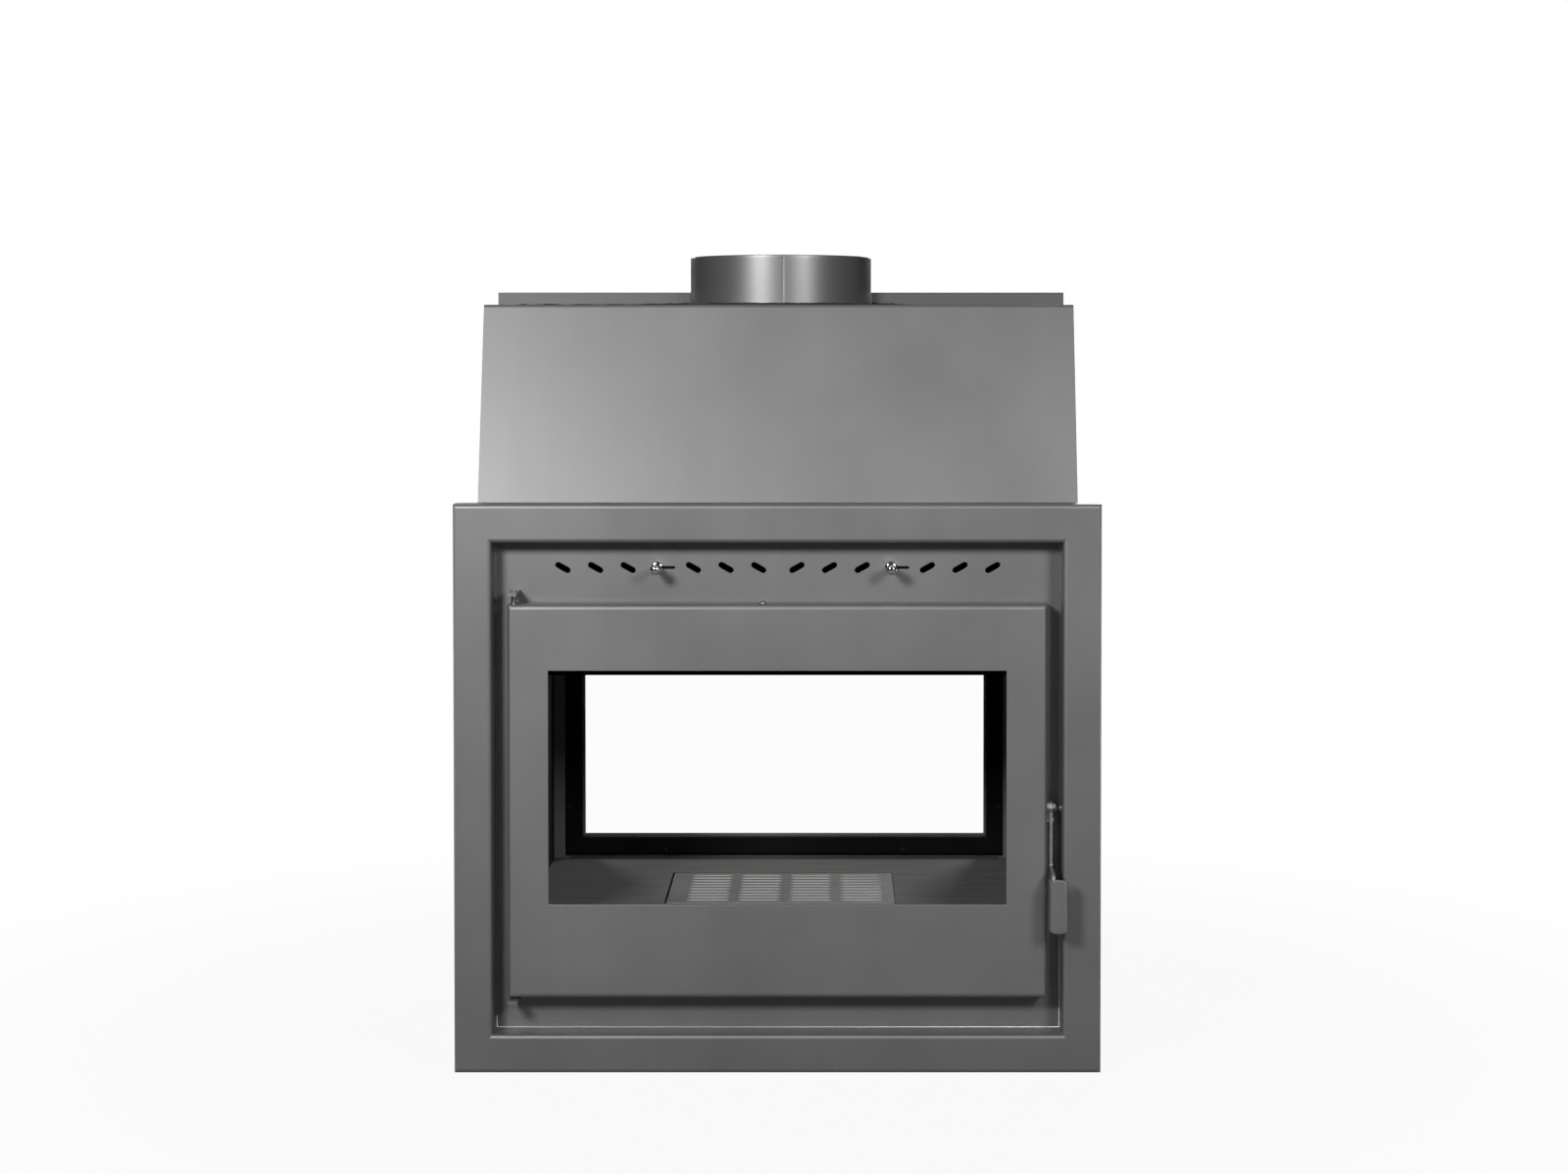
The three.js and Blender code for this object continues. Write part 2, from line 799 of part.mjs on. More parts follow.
// Lower hinge pin: carries the door on its pinShoulder
function lowerPin() {
	const tip = doorRect.bottom + sheet + pinEngagement;
	const lowerTail = lowerBracketFoot - pinTail;
	const seat = lowerBracketFoot + bracketThickness + seatGap;
	return turnedY([
		at(0, lowerTail),
		at(pinRadius, lowerTail),
		at(pinRadius, seat),
		at(pinShoulder / 2, seat),
		at(pinShoulder / 2, doorRect.bottom - seatGap),
		at(pinRadius, doorRect.bottom - seatGap),
		at(pinRadius, tip - pinChamfer),
		at(pinRadius - pinChamfer, tip),
		at(0, tip)
	]);
}

// Shutter: a sliding strip whose slots stand behind those of the fascia when it is open
function shutterPlate() {
	const outline = corners(centred(2 * shutterReach, shutterHeight));
	const rivets = knobPlaces.map((x) => circle(at(x, 0), knobStem / 2 + pinGap, screwSteps));
	return alongZ(outline, carcassOut - shutterSheet, carcassOut, [...airSlots(0), ...rivets]);
}

const knobBeyondFace = 5;
const knobButton = 13.6;
const knobFlange = 15.6;
const knobFlangeThickness = 2;
const knobDome = 3.2;
const knobRivet = 6;
const knobRivetThickness = 1.2;
const knobDomeSteps = 3;

// Knob: a polished knobButton whose stem passes through the fascia and is riveted to the shutter
function shutterKnob() {
	const reach = faceOut + knobBeyondFace;
	const stem = knobStem / 2;
	const panel = fasciaOut + seatGap;
	const plateBack = carcassOut - shutterSheet - seatGap;
	const round = arc(at(0, 0), 1, 0, 90, knobDomeSteps).slice(0, -1);
	const crown = round.map((point) => at((point.x * knobButton) / 2, reach - knobDome + point.y * knobDome));
	const profile = [
		at(0, plateBack - knobRivetThickness),
		at(knobRivet / 2, plateBack - knobRivetThickness),
		at(knobRivet / 2, plateBack),
		at(stem, plateBack),
		at(stem, panel),
		at(knobFlange / 2, panel),
		at(knobFlange / 2, panel + knobFlangeThickness),
		at(knobButton / 2, panel + knobFlangeThickness),
		...crown,
		at(0, reach)
	];
	return turnedZ(profile);
}

// Door

const ropeWidth = 8.4;
const ropeDepth = 11.4;
const ropeGap = 0.5;
const ropeInset = sheet + seatGap;
const ropeBack = fasciaOut + ropeGap;
const sealSeat = ropeBack + ropeDepth + seatGap;
const topScrewX = -19;
const topScrewBehindFace = 13;
const topScrewShank = 5;
const pivotRadius = pivotPin / 2;
const hingeX = doorRect.left + hingeInset;
const ropeLipGap = 0.8;

// Door shell: a face with a window, edges folded back, and the channel that holds the sealing rope
function doorShell() {
	const lipBack = doorBack + seatGap;
	const line = [at(windowSideBorder, faceOut), at(0, faceOut), at(0, doorBack)];
	const edge = (point) => (point.x > doorFold ? windowRect : inset(doorRect, point.x));
	const tray = framed(folded(line, sheet, doorFold), edge);
	const lip = ropeInset + ropeWidth + ropeLipGap;
	const channel = [
		at(sheet / 2, sealSeat),
		at(lip, sealSeat),
		at(lip, lipBack),
		at(lip + sheet, lipBack),
		at(lip + sheet, sealSeat + sheet),
		at(sheet / 2, sealSeat + sheet)
	];
	const seal = framed(channel, (point) => inset(doorRect, point.x));
	const hingeBore = (z) => turnedY(rod(pinRadius + pinGap, z - overrun, z + overrun)).translate(hingeX, 0, hingeOut);
	const screwBore = rod(topScrewShank / 2 + pinGap, doorRect.top - overrun, doorRect.top + overrun);
	const pivotBore = rod(pivotRadius + pinGap, doorRect.right - overrun, doorRect.right + overrun);
	return cut(
		joined(tray, seal),
		hingeBore(doorRect.top),
		hingeBore(doorRect.bottom),
		turnedY(screwBore).translate(topScrewX, 0, faceOut - topScrewBehindFace),
		turnedX(pivotBore).translate(0, pivotUp, pivotOut)
	);
}

const ropeSteps = 8;

// Sealing rope: a closed ring that is pressed between the door and the fascia
function doorSeal() {
	const centre = at(ropeInset + ropeWidth / 2, ropeBack + ropeDepth / 2);
	const flat = 1 / Math.cos(Math.PI / ropeSteps);
	const section = circle(at(0, 0), flat, ropeSteps).map((point) => {
		const turned = point.rotateAround(at(0, 0), Math.PI / ropeSteps);
		return at(centre.x + (turned.x * ropeWidth) / 2, centre.y + (turned.y * ropeDepth) / 2);
	});
	return framed(section, (point) => inset(doorRect, point.x));
}

// Glass, with its gasket in front and the retaining frame behind
const gasketThickness = 1.4;
const glassThickness = 4;
const glassLap = 16;
const glassFront = panelBack - seatGap - gasketThickness - seatGap;
const glassBack = glassFront - glassThickness;
const retainerFront = glassBack - seatGap;
const retainerBack = retainerFront - sheet;

function flatRing(outerLap, innerLap, back, front) {
	const outer = inset(windowRect, -outerLap);
	const width = outerLap - innerLap;
	const section = [at(0, back), at(0, front), at(width, front), at(width, back)];
	return framed(section, (point) => inset(outer, point.x));
}

const gasketOuterLap = 15;
const gasketInnerLap = 3;

function glassGasket() {
	return flatRing(gasketOuterLap, gasketInnerLap, panelBack - seatGap - gasketThickness, panelBack - seatGap);
}

function doorGlass() {
	return alongZ(corners(inset(windowRect, -glassLap)), glassBack, glassFront);
}

const retainerLap = 31;
const screwLap = 23.5;
const screwShank = 4;
const screwSideShare = 0.37;
const screwEndShare = 0.3;

// The eight screws of the retainer: two on each side of the window
function screwPlaces() {
	const middle = (windowRect.bottom + windowRect.top) / 2;
	const rise = screwSideShare * (windowRect.top - windowRect.bottom);
	const reach = screwEndShare * (windowRect.right - windowRect.left);
	const ring = inset(windowRect, -screwLap);
	return [
		at(ring.left, middle - rise),
		at(ring.left, middle + rise),
		at(ring.right, middle - rise),
		at(ring.right, middle + rise),
		at(-reach, ring.bottom),
		at(reach, ring.bottom),
		at(-reach, ring.top),
		at(reach, ring.top)
	];
}

const retainerScrewHead = 8;
const retainerScrewHeadHeight = 2.7;
const retainerScrewHeadTop = 5;

// Retainer screw: a dished retainerScrewHead on the frame's back, and a shank into the door's face
function retainerScrew(place) {
	const profile = [
		at(0, retainerBack - retainerScrewHeadHeight),
		at(retainerScrewHeadTop / 2, retainerBack - retainerScrewHeadHeight),
		at(retainerScrewHead / 2, retainerBack - retainerScrewHeadHeight / 2),
		at(retainerScrewHead / 2, retainerBack + sheet / 2),
		at(screwShank / 2, retainerBack + sheet / 2),
		at(screwShank / 2, panelBack - seatGap),
		at(0, panelBack - seatGap)
	];
	return turnedZ(profile, screwSteps).translate(place.x, place.y, 0);
}

const retainerInnerLap = 4;

// Retainer: a folded frame drawn up behind the glass by its screws
function glassRetainer() {
	const width = retainerLap - retainerInnerLap;
	const outer = inset(windowRect, -retainerLap);
	const line = [at(0, panelBack - seatGap), at(0, retainerBack), at(width, retainerBack)];
	const ring = framed(folded(line, sheet), (point) => inset(outer, point.x));
	return joined(ring, ...screwPlaces().map(retainerScrew));
}

const topScrewHead = 10;
const topScrewHeadHeight = 3.7;
const topScrewHeadTop = 6;
const topScrewLength = 10;

// Screw in the door's top edge
function doorTopScrew() {
	const seat = doorRect.top + seatGap;
	const profile = [
		at(0, seat - topScrewLength),
		at(topScrewShank / 2, seat - topScrewLength),
		at(topScrewShank / 2, seat),
		at(topScrewHead / 2, seat),
		at(topScrewHead / 2, seat + topScrewHeadHeight / 2),
		at(topScrewHeadTop / 2, seat + topScrewHeadHeight),
		at(0, seat + topScrewHeadHeight)
	];
	return turnedY(profile, screwSteps);
}

// Handle and latch, drawn about the pivot: x outwards from the door's edge, y up, z out

const hookFrom = seatGap;
const hookTo = hookFrom + sheet;
const leverFrom = hookTo + seatGap;
const leverTo = leverFrom + plate;
const leverWidth = 14;
const gripReach = 60.5;
const gripDepth = 20;
const gripTop = 84;
const gripHeight = 70;
const gripWidth = 22;
const gripRivet = 4;
const hookRivet = 5;
const hookRivetDrop = 17;
const gripBack = gripReach - gripDepth;
const gripMiddle = gripBack + seatGap + leverWidth / 2 + seatGap;
const gripRivetShare = 0.25;

// Two rivets hold the grip to the foot of the lever
function gripRivets() {
	const places = [gripRivetShare, 1 - gripRivetShare].map((share) => -gripTop - share * gripHeight);
	return places.map((up) => at(up, gripMiddle));
}

const leverHub = 9;
const leverBend = 17;
const leverStepTop = 76;
const leverTail = 144;

// Lever: a flat bar that steps forward into the grip
function handleLever() {
	const back = -leverWidth / 2;
	const front = gripMiddle - leverWidth / 2;
	const step = -leverStepTop - leverWidth;
	const line = [at(-leverTail, front), at(step, front), at(step, back), at(0, back)];
	const bar = alongX(folded(line, leverWidth, leverBend), leverFrom, leverTo);
	const boss = alongX(circle(at(0, 0), leverHub), leverFrom, leverTo);
	const span = [leverFrom - overrun, leverTo + overrun];
	const bore = (place, radius) => alongX(circle(place, radius), ...span);
	return cut(
		joined(bar, boss),
		bore(at(0, 0), pivotRadius + pinGap),
		bore(at(-hookRivetDrop, 0), hookRivet / 2 + pinGap),
		...gripRivets().map((place) => bore(place, gripRivet / 2 + pinGap))
	);
}

const gripBow = 3;
const gripRivetHeadThickness = 1.5;
const gripRivetHead = 7;

// Grip: a folded channel open at the back, with bowed ends and rivets into the lever
function handleGrip() {
	const left = hookFrom;
	const right = left + gripWidth;
	const line = [at(right, gripBack), at(right, gripReach), at(left, gripReach), at(left, gripBack)];
	const channel = alongY(folded(line, sheet), -gripTop - gripHeight - overrun, overrun - gripTop);
	const middle = (left + right) / 2;
	const radius = (gripWidth * gripWidth) / (8 * gripBow) + gripBow / 2;
	const half = THREE.MathUtils.radToDeg(Math.asin(gripWidth / 2 / radius));
	const face = [
		...arc(at(middle, -gripTop - radius), radius, 90 - half, 90 + half, bendSteps),
		...arc(at(middle, radius - gripTop - gripHeight), radius, 270 - half, 270 + half, bendSteps)
	];
	const trimmed = common(channel, alongZ(face, gripBack - overrun, gripReach + overrun));
	const inside = left + sheet / 2;
	const end = leverTo + seatGap;
	const profile = [
		at(0, inside),
		at(gripRivet / 2, inside),
		at(gripRivet / 2, end),
		at(gripRivetHead / 2, end),
		at(gripRivetHead / 2, end + gripRivetHeadThickness),
		at(0, end + gripRivetHeadThickness)
	];
	const rivets = gripRivets().map((p) => turnedX(profile, screwSteps).translate(0, p.x, p.y));
	return joined(trimmed, ...rivets);
}

const hookHub = 9.5;
const hookFingerInner = 16.4;
const hookFingerOuter = 20.5;
const hookLobe = 5.2;
const hookSteps = 8;
const hookPeen = 9;
const hookPeenHeight = 2.4;

// Latch hook: its finger swings down behind the keeper, and a peened rivet locks it to the lever
function latchHook() {
	const pivot = at(0, 0);
	const rivet = at(0, -hookRivetDrop);
	const drawn = [
		...arc(pivot, hookFingerOuter, 175, 255, hookSteps),
		...arc(rivet, hookLobe, 235, 375, hookSteps),
		...arc(pivot, hookHub, 310, 575, 2 * hookSteps),
		...arc(pivot, hookFingerInner, 215, 175, hookSteps)
	];
	const outline = drawn.map((point) => at(point.y, point.x));
	const hook = alongX(outline, hookFrom, hookTo, [circle(pivot, pivotRadius + pinGap)]);
	const end = leverTo + seatGap;
	const profile = [
		at(0, hookFrom + sheet / 2),
		at(hookRivet / 2, hookFrom + sheet / 2),
		at(hookRivet / 2, end),
		at(hookPeen / 2, end),
		at(hookPeen / 2, end + hookPeenHeight / 2),
		at(hookPeen / 4, end + hookPeenHeight),
		at(0, end + hookPeenHeight)
	];
	return joined(hook, turnedX(profile, screwSteps).translate(0, -hookRivetDrop, 0));
}

const pivotHead = 12;
const nutAcross = 10;
const nutHeight = 3.4;
const nutDome = 1.8;

// Pivot: a headed stud through the door's edge, closed by a domed nut outside the lever
function handlePivot() {
	const inside = -sheet - seatGap;
	const nutFrom = leverTo + seatGap;
	const nutTo = nutFrom + nutHeight;
	const profile = [
		at(0, inside - sheet),
		at(pivotHead / 2, inside - sheet),
		at(pivotHead / 2, inside),
		at(pivotRadius, inside),
		at(pivotRadius, nutTo - nutHeight / 2),
		at(nutAcross / 2, nutTo - nutHeight / 2),
		at(nutAcross / 2, nutTo),
		at(nutAcross / 4, nutTo + nutDome),
		at(0, nutTo + nutDome)
	];
	const hexRadius = nutAcross / 2 / Math.cos(Math.PI / 6);
	const hexagon = alongX(circle(at(0, 0), hexRadius, 6), nutFrom, nutTo);
	return joined(turnedX(profile), hexagon);
}

const keeperFlange = 14;
const keeperTipGap = 1.2;

// Keeper: a headed pin that stands out from the lip of the fascia towards the hook
function latchKeeper() {
	const lip = openingRect.right - doorRect.right - seatGap;
	const profile = [
		at(0, keeperTipGap),
		at(keeperPin / 2, keeperTipGap),
		at(keeperPin / 2, lip - sheet),
		at(keeperFlange / 2, lip - sheet),
		at(keeperFlange / 2, lip),
		at(0, lip)
	];
	return turnedX(profile).translate(0, -keeperDrop, -keeperBack);
}

// Assembly

function piece(name, geometry, material) {
	const mesh = new THREE.Mesh(geometry, material);
	mesh.name = name;
	return mesh;
}

function placed(object, x, y, z) {
	object.position.set(x, y, z);
	return object;
}

function turned(object) {
	object.rotation.z = Math.PI;
	return object;
}

function grouped(...objects) {
	const group = new THREE.Group();
	group.add(...objects);
	return group;
}

function body() {
	return grouped(
		piece('base_plate', basePlate(), innerSteel()),
		piece('casing_side_right', casingSide(), satinSteel()),
		turned(piece('casing_side_left', casingSide(), satinSteel())),
		piece('hood_front', hoodHalf(), satinSteel()),
		turned(piece('hood_rear', hoodHalf(), satinSteel())),
		piece('hood_side_right', hoodSide(), satinSteel()),
		turned(piece('hood_side_left', hoodSide(), satinSteel())),
		piece('flue_collar', flueCollar(), satinSteel())
	);
}

function firebox() {
	return grouped(
		piece('smoke_dome', smokeDome(), innerSteel()),
		piece('firebox_stand', fireboxStand(), innerSteel()),
		piece('firebox_base', fireboxBase(), innerSteel()),
		piece('firebox_wall_right', fireboxWall(), innerSteel()),
		turned(piece('firebox_wall_left', fireboxWall(), innerSteel())),
		piece('firebox_roof', fireboxRoof(), innerSteel()),
		piece('baffle_plate', bafflePlate(), innerSteel()),
		piece('hearth_floor', hearthFloor(), innerSteel()),
		placed(piece('grate', grate(), castIron()), grateShift, 0, hearthTop),
		piece('ash_pan', ashPan(), zincSteel())
	);
}

function hinge(side) {
	const hardware = grouped(
		piece(`hinge_bracket_upper_${side}`, hingeBracket(upperBracketFoot), satinSteel()),
		piece(`hinge_bracket_lower_${side}`, hingeBracket(lowerBracketFoot), satinSteel()),
		piece(`hinge_pin_upper_${side}`, upperPin(), zincSteel()),
		piece(`hinge_pin_lower_${side}`, lowerPin(), zincSteel())
	);
	return placed(hardware, hingeX, 0, hingeOut);
}

function shutter(side) {
	const [left, right] = knobPlaces;
	const sliding = grouped(
		piece(`shutter_plate_${side}`, shutterPlate(), innerSteel()),
		placed(piece(`shutter_knob_left_${side}`, shutterKnob(), polishedChrome()), left, 0, 0),
		placed(piece(`shutter_knob_right_${side}`, shutterKnob(), polishedChrome()), right, 0, 0)
	);
	return placed(sliding, 0, slotLine, 0);
}

function door(side) {
	const topScrew = piece(`door_top_screw_${side}`, doorTopScrew(), zincSteel());
	return grouped(
		piece(`door_shell_${side}`, doorShell(), satinSteel()),
		piece(`door_glass_${side}`, doorGlass(), ceramicGlass()),
		piece(`glass_gasket_${side}`, glassGasket(), sealRope()),
		piece(`glass_retainer_${side}`, glassRetainer(), innerSteel()),
		piece(`door_seal_${side}`, doorSeal(), sealRope()),
		placed(topScrew, topScrewX, 0, faceOut - topScrewBehindFace)
	);
}

function latch(side) {
	const mechanism = grouped(
		piece(`handle_lever_${side}`, handleLever(), zincSteel()),
		piece(`handle_grip_${side}`, handleGrip(), satinSteel()),
		piece(`latch_hook_${side}`, latchHook(), zincSteel()),
		piece(`handle_pivot_${side}`, handlePivot(), zincSteel()),
		piece(`latch_keeper_${side}`, latchKeeper(), zincSteel())
	);
	return placed(mechanism, doorRect.right, pivotUp, pivotOut);
}

// One face of the fireplace, stood upright
function face(side) {
	const upright = grouped(
		piece(`surround_${side}`, surround(), satinSteel()),
		piece(`fascia_${side}`, fascia(), satinSteel()),
		piece(`air_wash_plate_${side}`, airWashPlate(), innerSteel()),
		hinge(side),
		shutter(side),
		door(side),
		latch(side)
	);
	upright.rotation.x = Math.PI / 2;
	return grouped(upright);
}

export default grouped(body(), firebox(), face('front'), turned(face('rear')));
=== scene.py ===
import math

import bpy
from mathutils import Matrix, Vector, noise


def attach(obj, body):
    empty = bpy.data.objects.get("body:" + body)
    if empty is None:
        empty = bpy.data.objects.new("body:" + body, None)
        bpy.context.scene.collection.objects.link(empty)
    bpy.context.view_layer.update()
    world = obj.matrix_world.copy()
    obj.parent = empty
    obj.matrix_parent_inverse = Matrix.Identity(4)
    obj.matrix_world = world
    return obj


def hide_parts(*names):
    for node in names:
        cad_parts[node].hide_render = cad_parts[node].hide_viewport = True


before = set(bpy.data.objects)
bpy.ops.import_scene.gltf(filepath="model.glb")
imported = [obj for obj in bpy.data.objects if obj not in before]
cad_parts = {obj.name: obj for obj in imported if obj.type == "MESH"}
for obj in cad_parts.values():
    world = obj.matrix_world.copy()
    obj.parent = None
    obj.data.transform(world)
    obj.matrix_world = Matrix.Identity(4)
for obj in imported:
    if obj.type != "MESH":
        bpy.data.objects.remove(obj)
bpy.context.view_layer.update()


# Camera: at the height of the hood and a little right of the middle, looking slightly down.
# The lens is long and its frame is shifted, so that upright edges stay nearly parallel.
def photograph_camera():
    """The photograph's camera."""
    pitch_degrees = 1.5
    camera = bpy.data.cameras.new("photograph_camera")
    camera.lens = 63.78
    camera.sensor_width = 36
    camera.shift_x = -0.03017
    camera.shift_y = -0.09785
    made = bpy.data.objects.new("photograph_camera", camera)
    bpy.context.scene.collection.objects.link(made)
    made.location = (0.0699, -3.8612, 0.9253)
    made.rotation_euler = (math.radians(90 - pitch_degrees), 0, 0)
    bpy.context.scene.camera = made


photograph_camera()


# Base plate, stand and firebox: hot-rolled plates, cut, folded and welded together.
# They are sprayed with matt black stove paint and face the fire, so they look dull and nearly black,
# with a little grey dust where they lie flat.
def linear(code):
    """An sRGB hex colour as linear light, with full alpha."""
    parts = [int(code[i:i + 2], 16) / 255 for i in (1, 3, 5)]
    return tuple(c / 12.92 if c <= 0.04045 else ((c + 0.055) / 1.055) ** 2.4 for c in parts) + (1,)


# A colour mix takes its share at socket 0 and its colours at 6 and 7, and gives the mixture at 2.
def add(tree, kind, settings, inputs):
    """Adds a node with its settings. An input is a value, or the output that feeds it."""
    made = tree.nodes.new("ShaderNode" + kind)
    for name, value in settings.items():
        setattr(made, name, value)
    for name, value in inputs.items():
        if isinstance(value, bpy.types.NodeSocket):
            tree.links.new(value, made.inputs[name])
        else:
            made.inputs[name].default_value = value
    return made


def material(name):
    """A new material with an empty node tree."""
    made = bpy.data.materials.new(name)
    made.use_nodes = True
    made.node_tree.nodes.clear()
    return made, made.node_tree


def per_metre(size_mm):
    """The scale that gives a pattern with features of a size in millimetres."""
    return 1000 / size_mm


def black_stove_plate():
    """Matt black stove paint on hot-rolled plate, dusty and swept in streaks where it lies flat."""
    cloud_mm, pit_mm, sweep_mm, edge_mm = 60, 1.6, 9, 0.8
    made, tree = material("black_stove_plate")
    place = add(tree, "TexCoord", {}, {}).outputs["Object"]
    cloud = add(tree, "TexNoise", {}, {"Vector": place, "Scale": per_metre(cloud_mm), "Detail": 4})
    pits = add(tree, "TexNoise", {}, {"Vector": place, "Scale": per_metre(pit_mm), "Detail": 2})
    dark = add(tree, "Mix", {"data_type": "RGBA"},
               {0: cloud.outputs[0], 6: linear("#0b0b0b"), 7: linear("#161615")})
    up = add(tree, "SeparateXYZ", {}, {"Vector": add(tree, "NewGeometry", {}, {}).outputs["Normal"]})
    dust = add(tree, "MapRange", {},
               {"Value": up.outputs["Z"], "From Min": 0.5, "From Max": 1.0, "To Min": 0, "To Max": 0.8})
    along = add(tree, "Mapping", {}, {"Vector": place, "Scale": (0.08, 1, 1)})
    sweep = add(tree, "TexNoise", {},
                {"Vector": along.outputs[0], "Scale": per_metre(sweep_mm), "Detail": 3})
    dusty = add(tree, "Mix", {"data_type": "RGBA"},
                {0: sweep.outputs[0], 6: linear("#4c4c4b"), 7: linear("#747472")})
    colour = add(tree, "Mix", {"data_type": "RGBA"},
                 {0: dust.outputs[0], 6: dark.outputs[2], 7: dusty.outputs[2]})
    soft = add(tree, "Bevel", {"samples": 4}, {"Radius": edge_mm / 1000})
    bump = add(tree, "Bump", {}, {"Height": pits.outputs[0], "Strength": 0.15, "Distance": 0.0005,
                                  "Normal": soft.outputs[0]})
    shader = add(tree, "BsdfPrincipled", {},
                 {"Base Color": colour.outputs[2], "Metallic": 0.0, "Roughness": 0.78,
                  "Specular IOR Level": 0.08, "Normal": bump.outputs[0]})
    add(tree, "OutputMaterial", {}, {"Surface": shader.outputs[0]})
    return made


def dress(finish, *nodes):
    """Gives the named nodes a finish."""
    for name in nodes:
        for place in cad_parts[name].material_slots:
            place.material = finish


SIDES = ("front", "rear")


def both(*names):
    """The front and rear node of each name."""
    return [f"{name}_{side}" for name in names for side in SIDES]


plate_black = black_stove_plate()
dress(plate_black, "base_plate", "firebox_stand", "firebox_base", "firebox_wall_right", "firebox_wall_left",
      "firebox_roof", "baffle_plate", "hearth_floor", "smoke_dome")
dress(plate_black, *both("air_wash_plate"))


# Casing and hood: 3 mm cold-rolled sheets, folded and welded, with the welds ground flush.
# They are sprayed with satin metallic grey stove paint, which lies in faint clouds over the sheet.
# Along its folds the colour is painted a little brighter, partly rubbed wear and partly a painted
# highlight.
def stove_painted_steel(name, edge_mm, dark="#7e7e7e", pale="#878787", smooth=0.43, dull=0.48):
    """Satin metallic stove paint on rolled sheet: soft clouds, roll marks, and edges painted lighter,
    partly rubbed wear and partly a painted highlight.
    """
    cloud_mm, streak_mm, speck_mm = 190, 34, 2.4
    made, tree = material(name)
    place = add(tree, "TexCoord", {}, {}).outputs["Object"]
    cloud = add(tree, "TexNoise", {}, {"Vector": place, "Scale": per_metre(cloud_mm), "Detail": 3})
    speck = add(tree, "TexNoise", {}, {"Vector": place, "Scale": per_metre(speck_mm), "Detail": 2})
    upright = add(tree, "Mapping", {}, {"Vector": place, "Scale": (1, 1, 0.08)})
    streak = add(tree, "TexNoise", {},
                 {"Vector": upright.outputs[0], "Scale": per_metre(streak_mm), "Detail": 2})
    patch = add(tree, "Math", {"operation": "MULTIPLY_ADD"},
                {0: streak.outputs[0], 1: 0.35, 2: cloud.outputs[0]})
    tone = add(tree, "MapRange", {},
               {"Value": patch.outputs[0], "From Min": 0.4, "From Max": 1.0, "To Min": 0, "To Max": 1})
    mixed = add(tree, "Mix", {"data_type": "RGBA"},
                {0: tone.outputs[0], 6: linear(dark), 7: linear(pale)})
    grain = add(tree, "Mix", {"data_type": "RGBA", "blend_type": "MULTIPLY"},
                {0: 0.06, 6: mixed.outputs[2], 7: speck.outputs[1]})
    soft = add(tree, "Bevel", {"samples": 4}, {"Radius": edge_mm / 1000})
    true = add(tree, "NewGeometry", {}, {})
    bend = add(tree, "VectorMath", {"operation": "DOT_PRODUCT"},
               {0: soft.outputs[0], 1: true.outputs["Normal"]})
    # Folds and edges are painted lighter: partly rubbed wear, partly a painted highlight.
    edge_wear_and_highlight = add(tree, "MapRange", {},
               {"Value": bend.outputs["Value"], "From Min": 0.98, "From Max": 0.80,
                "To Min": 0, "To Max": 0.30})
    colour = add(tree, "Mix", {"data_type": "RGBA"},
                 {0: edge_wear_and_highlight.outputs[0], 6: grain.outputs[2], 7: linear("#a8a8a8")})
    rough = add(tree, "MapRange", {},
                {"Value": cloud.outputs[0], "From Min": 0.3, "From Max": 0.7,
                 "To Min": smooth, "To Max": dull})
    bump = add(tree, "Bump", {}, {"Height": speck.outputs[0], "Strength": 0.05, "Distance": 0.0004,
                                  "Normal": soft.outputs[0]})
    shader = add(tree, "BsdfPrincipled", {},
                 {"Base Color": colour.outputs[2], "Metallic": 0.68, "Roughness": rough.outputs[0],
                  "Normal": bump.outputs[0]})
    add(tree, "OutputMaterial", {}, {"Surface": shader.outputs[0]})
    return made


def shade_paint_above(painted, height):
    """Darkens a paint above a height: a painted shade on the seam band over the hood."""
    feather = 0.002
    tree = painted.node_tree
    shader = tree.nodes["Principled BSDF"]
    colour = shader.inputs["Base Color"].links[0].from_socket
    place = add(tree, "TexCoord", {}, {}).outputs["Object"]
    up = add(tree, "SeparateXYZ", {}, {"Vector": place})
    share = add(tree, "MapRange", {},
                {"Value": up.outputs["Z"], "From Min": height, "From Max": height + feather,
                 "To Min": 0, "To Max": 1})
    mixed = add(tree, "Mix", {"data_type": "RGBA"},
                {0: share.outputs[0], 6: colour, 7: linear("#5a5a5a")})
    tree.links.new(mixed.outputs[2], shader.inputs["Base Color"])


stove_paint = stove_painted_steel("stove_painted_steel", 1.2)
dress(stove_paint, "casing_side_right", "casing_side_left", "hood_side_right", "hood_side_left")
# The hood's paint is a darker copy of the casing's paint, a painted shade over the sloping hood.
hood_paint_shaded = stove_painted_steel("stove_painted_hood_shaded", 1.2, "#767676", "#7e7e7e")
# Painted shade: the seam band on top of the hood is painted darker.
seam_foot = 1.0005
shade_paint_above(hood_paint_shaded, seam_foot)
dress(hood_paint_shaded, "hood_front", "hood_rear")


# Flue collar: a 3 mm strip rolled into a ring, butted and welded, with its seam facing the front.
# Its rim is rounded and it is painted with the hood.
def piece(name, points, faces, finish, crease_degrees=35):
    """A mesh piece with smooth faces and sharp creases. Points are in metres."""
    mesh = bpy.data.meshes.new(name)
    mesh.from_pydata(points, [], faces)
    mesh.polygons.foreach_set("use_smooth", [True] * len(mesh.polygons))
    mesh.set_sharp_from_angle(angle=math.radians(crease_degrees))
    mesh.materials.append(finish)
    made = bpy.data.objects.new(name, mesh)
    bpy.context.scene.collection.objects.link(made)
    return made


def grid_faces(rings, around, closed_ends, closed_rings=False):
    """The faces between rings of points. Ends are closed, or the last ring meets the first."""
    count = rings if closed_rings else rings - 1
    faces = []
    for i in range(count):
        here, after = i * around, (i + 1) % rings * around
        for j in range(around):
            k = (j + 1) % around
            faces.append((here + j, here + k, after + k, after + j))
    if closed_ends:
        faces.append(tuple(reversed(range(around))))
        faces.append(tuple((rings - 1) * around + j for j in range(around)))
    return faces


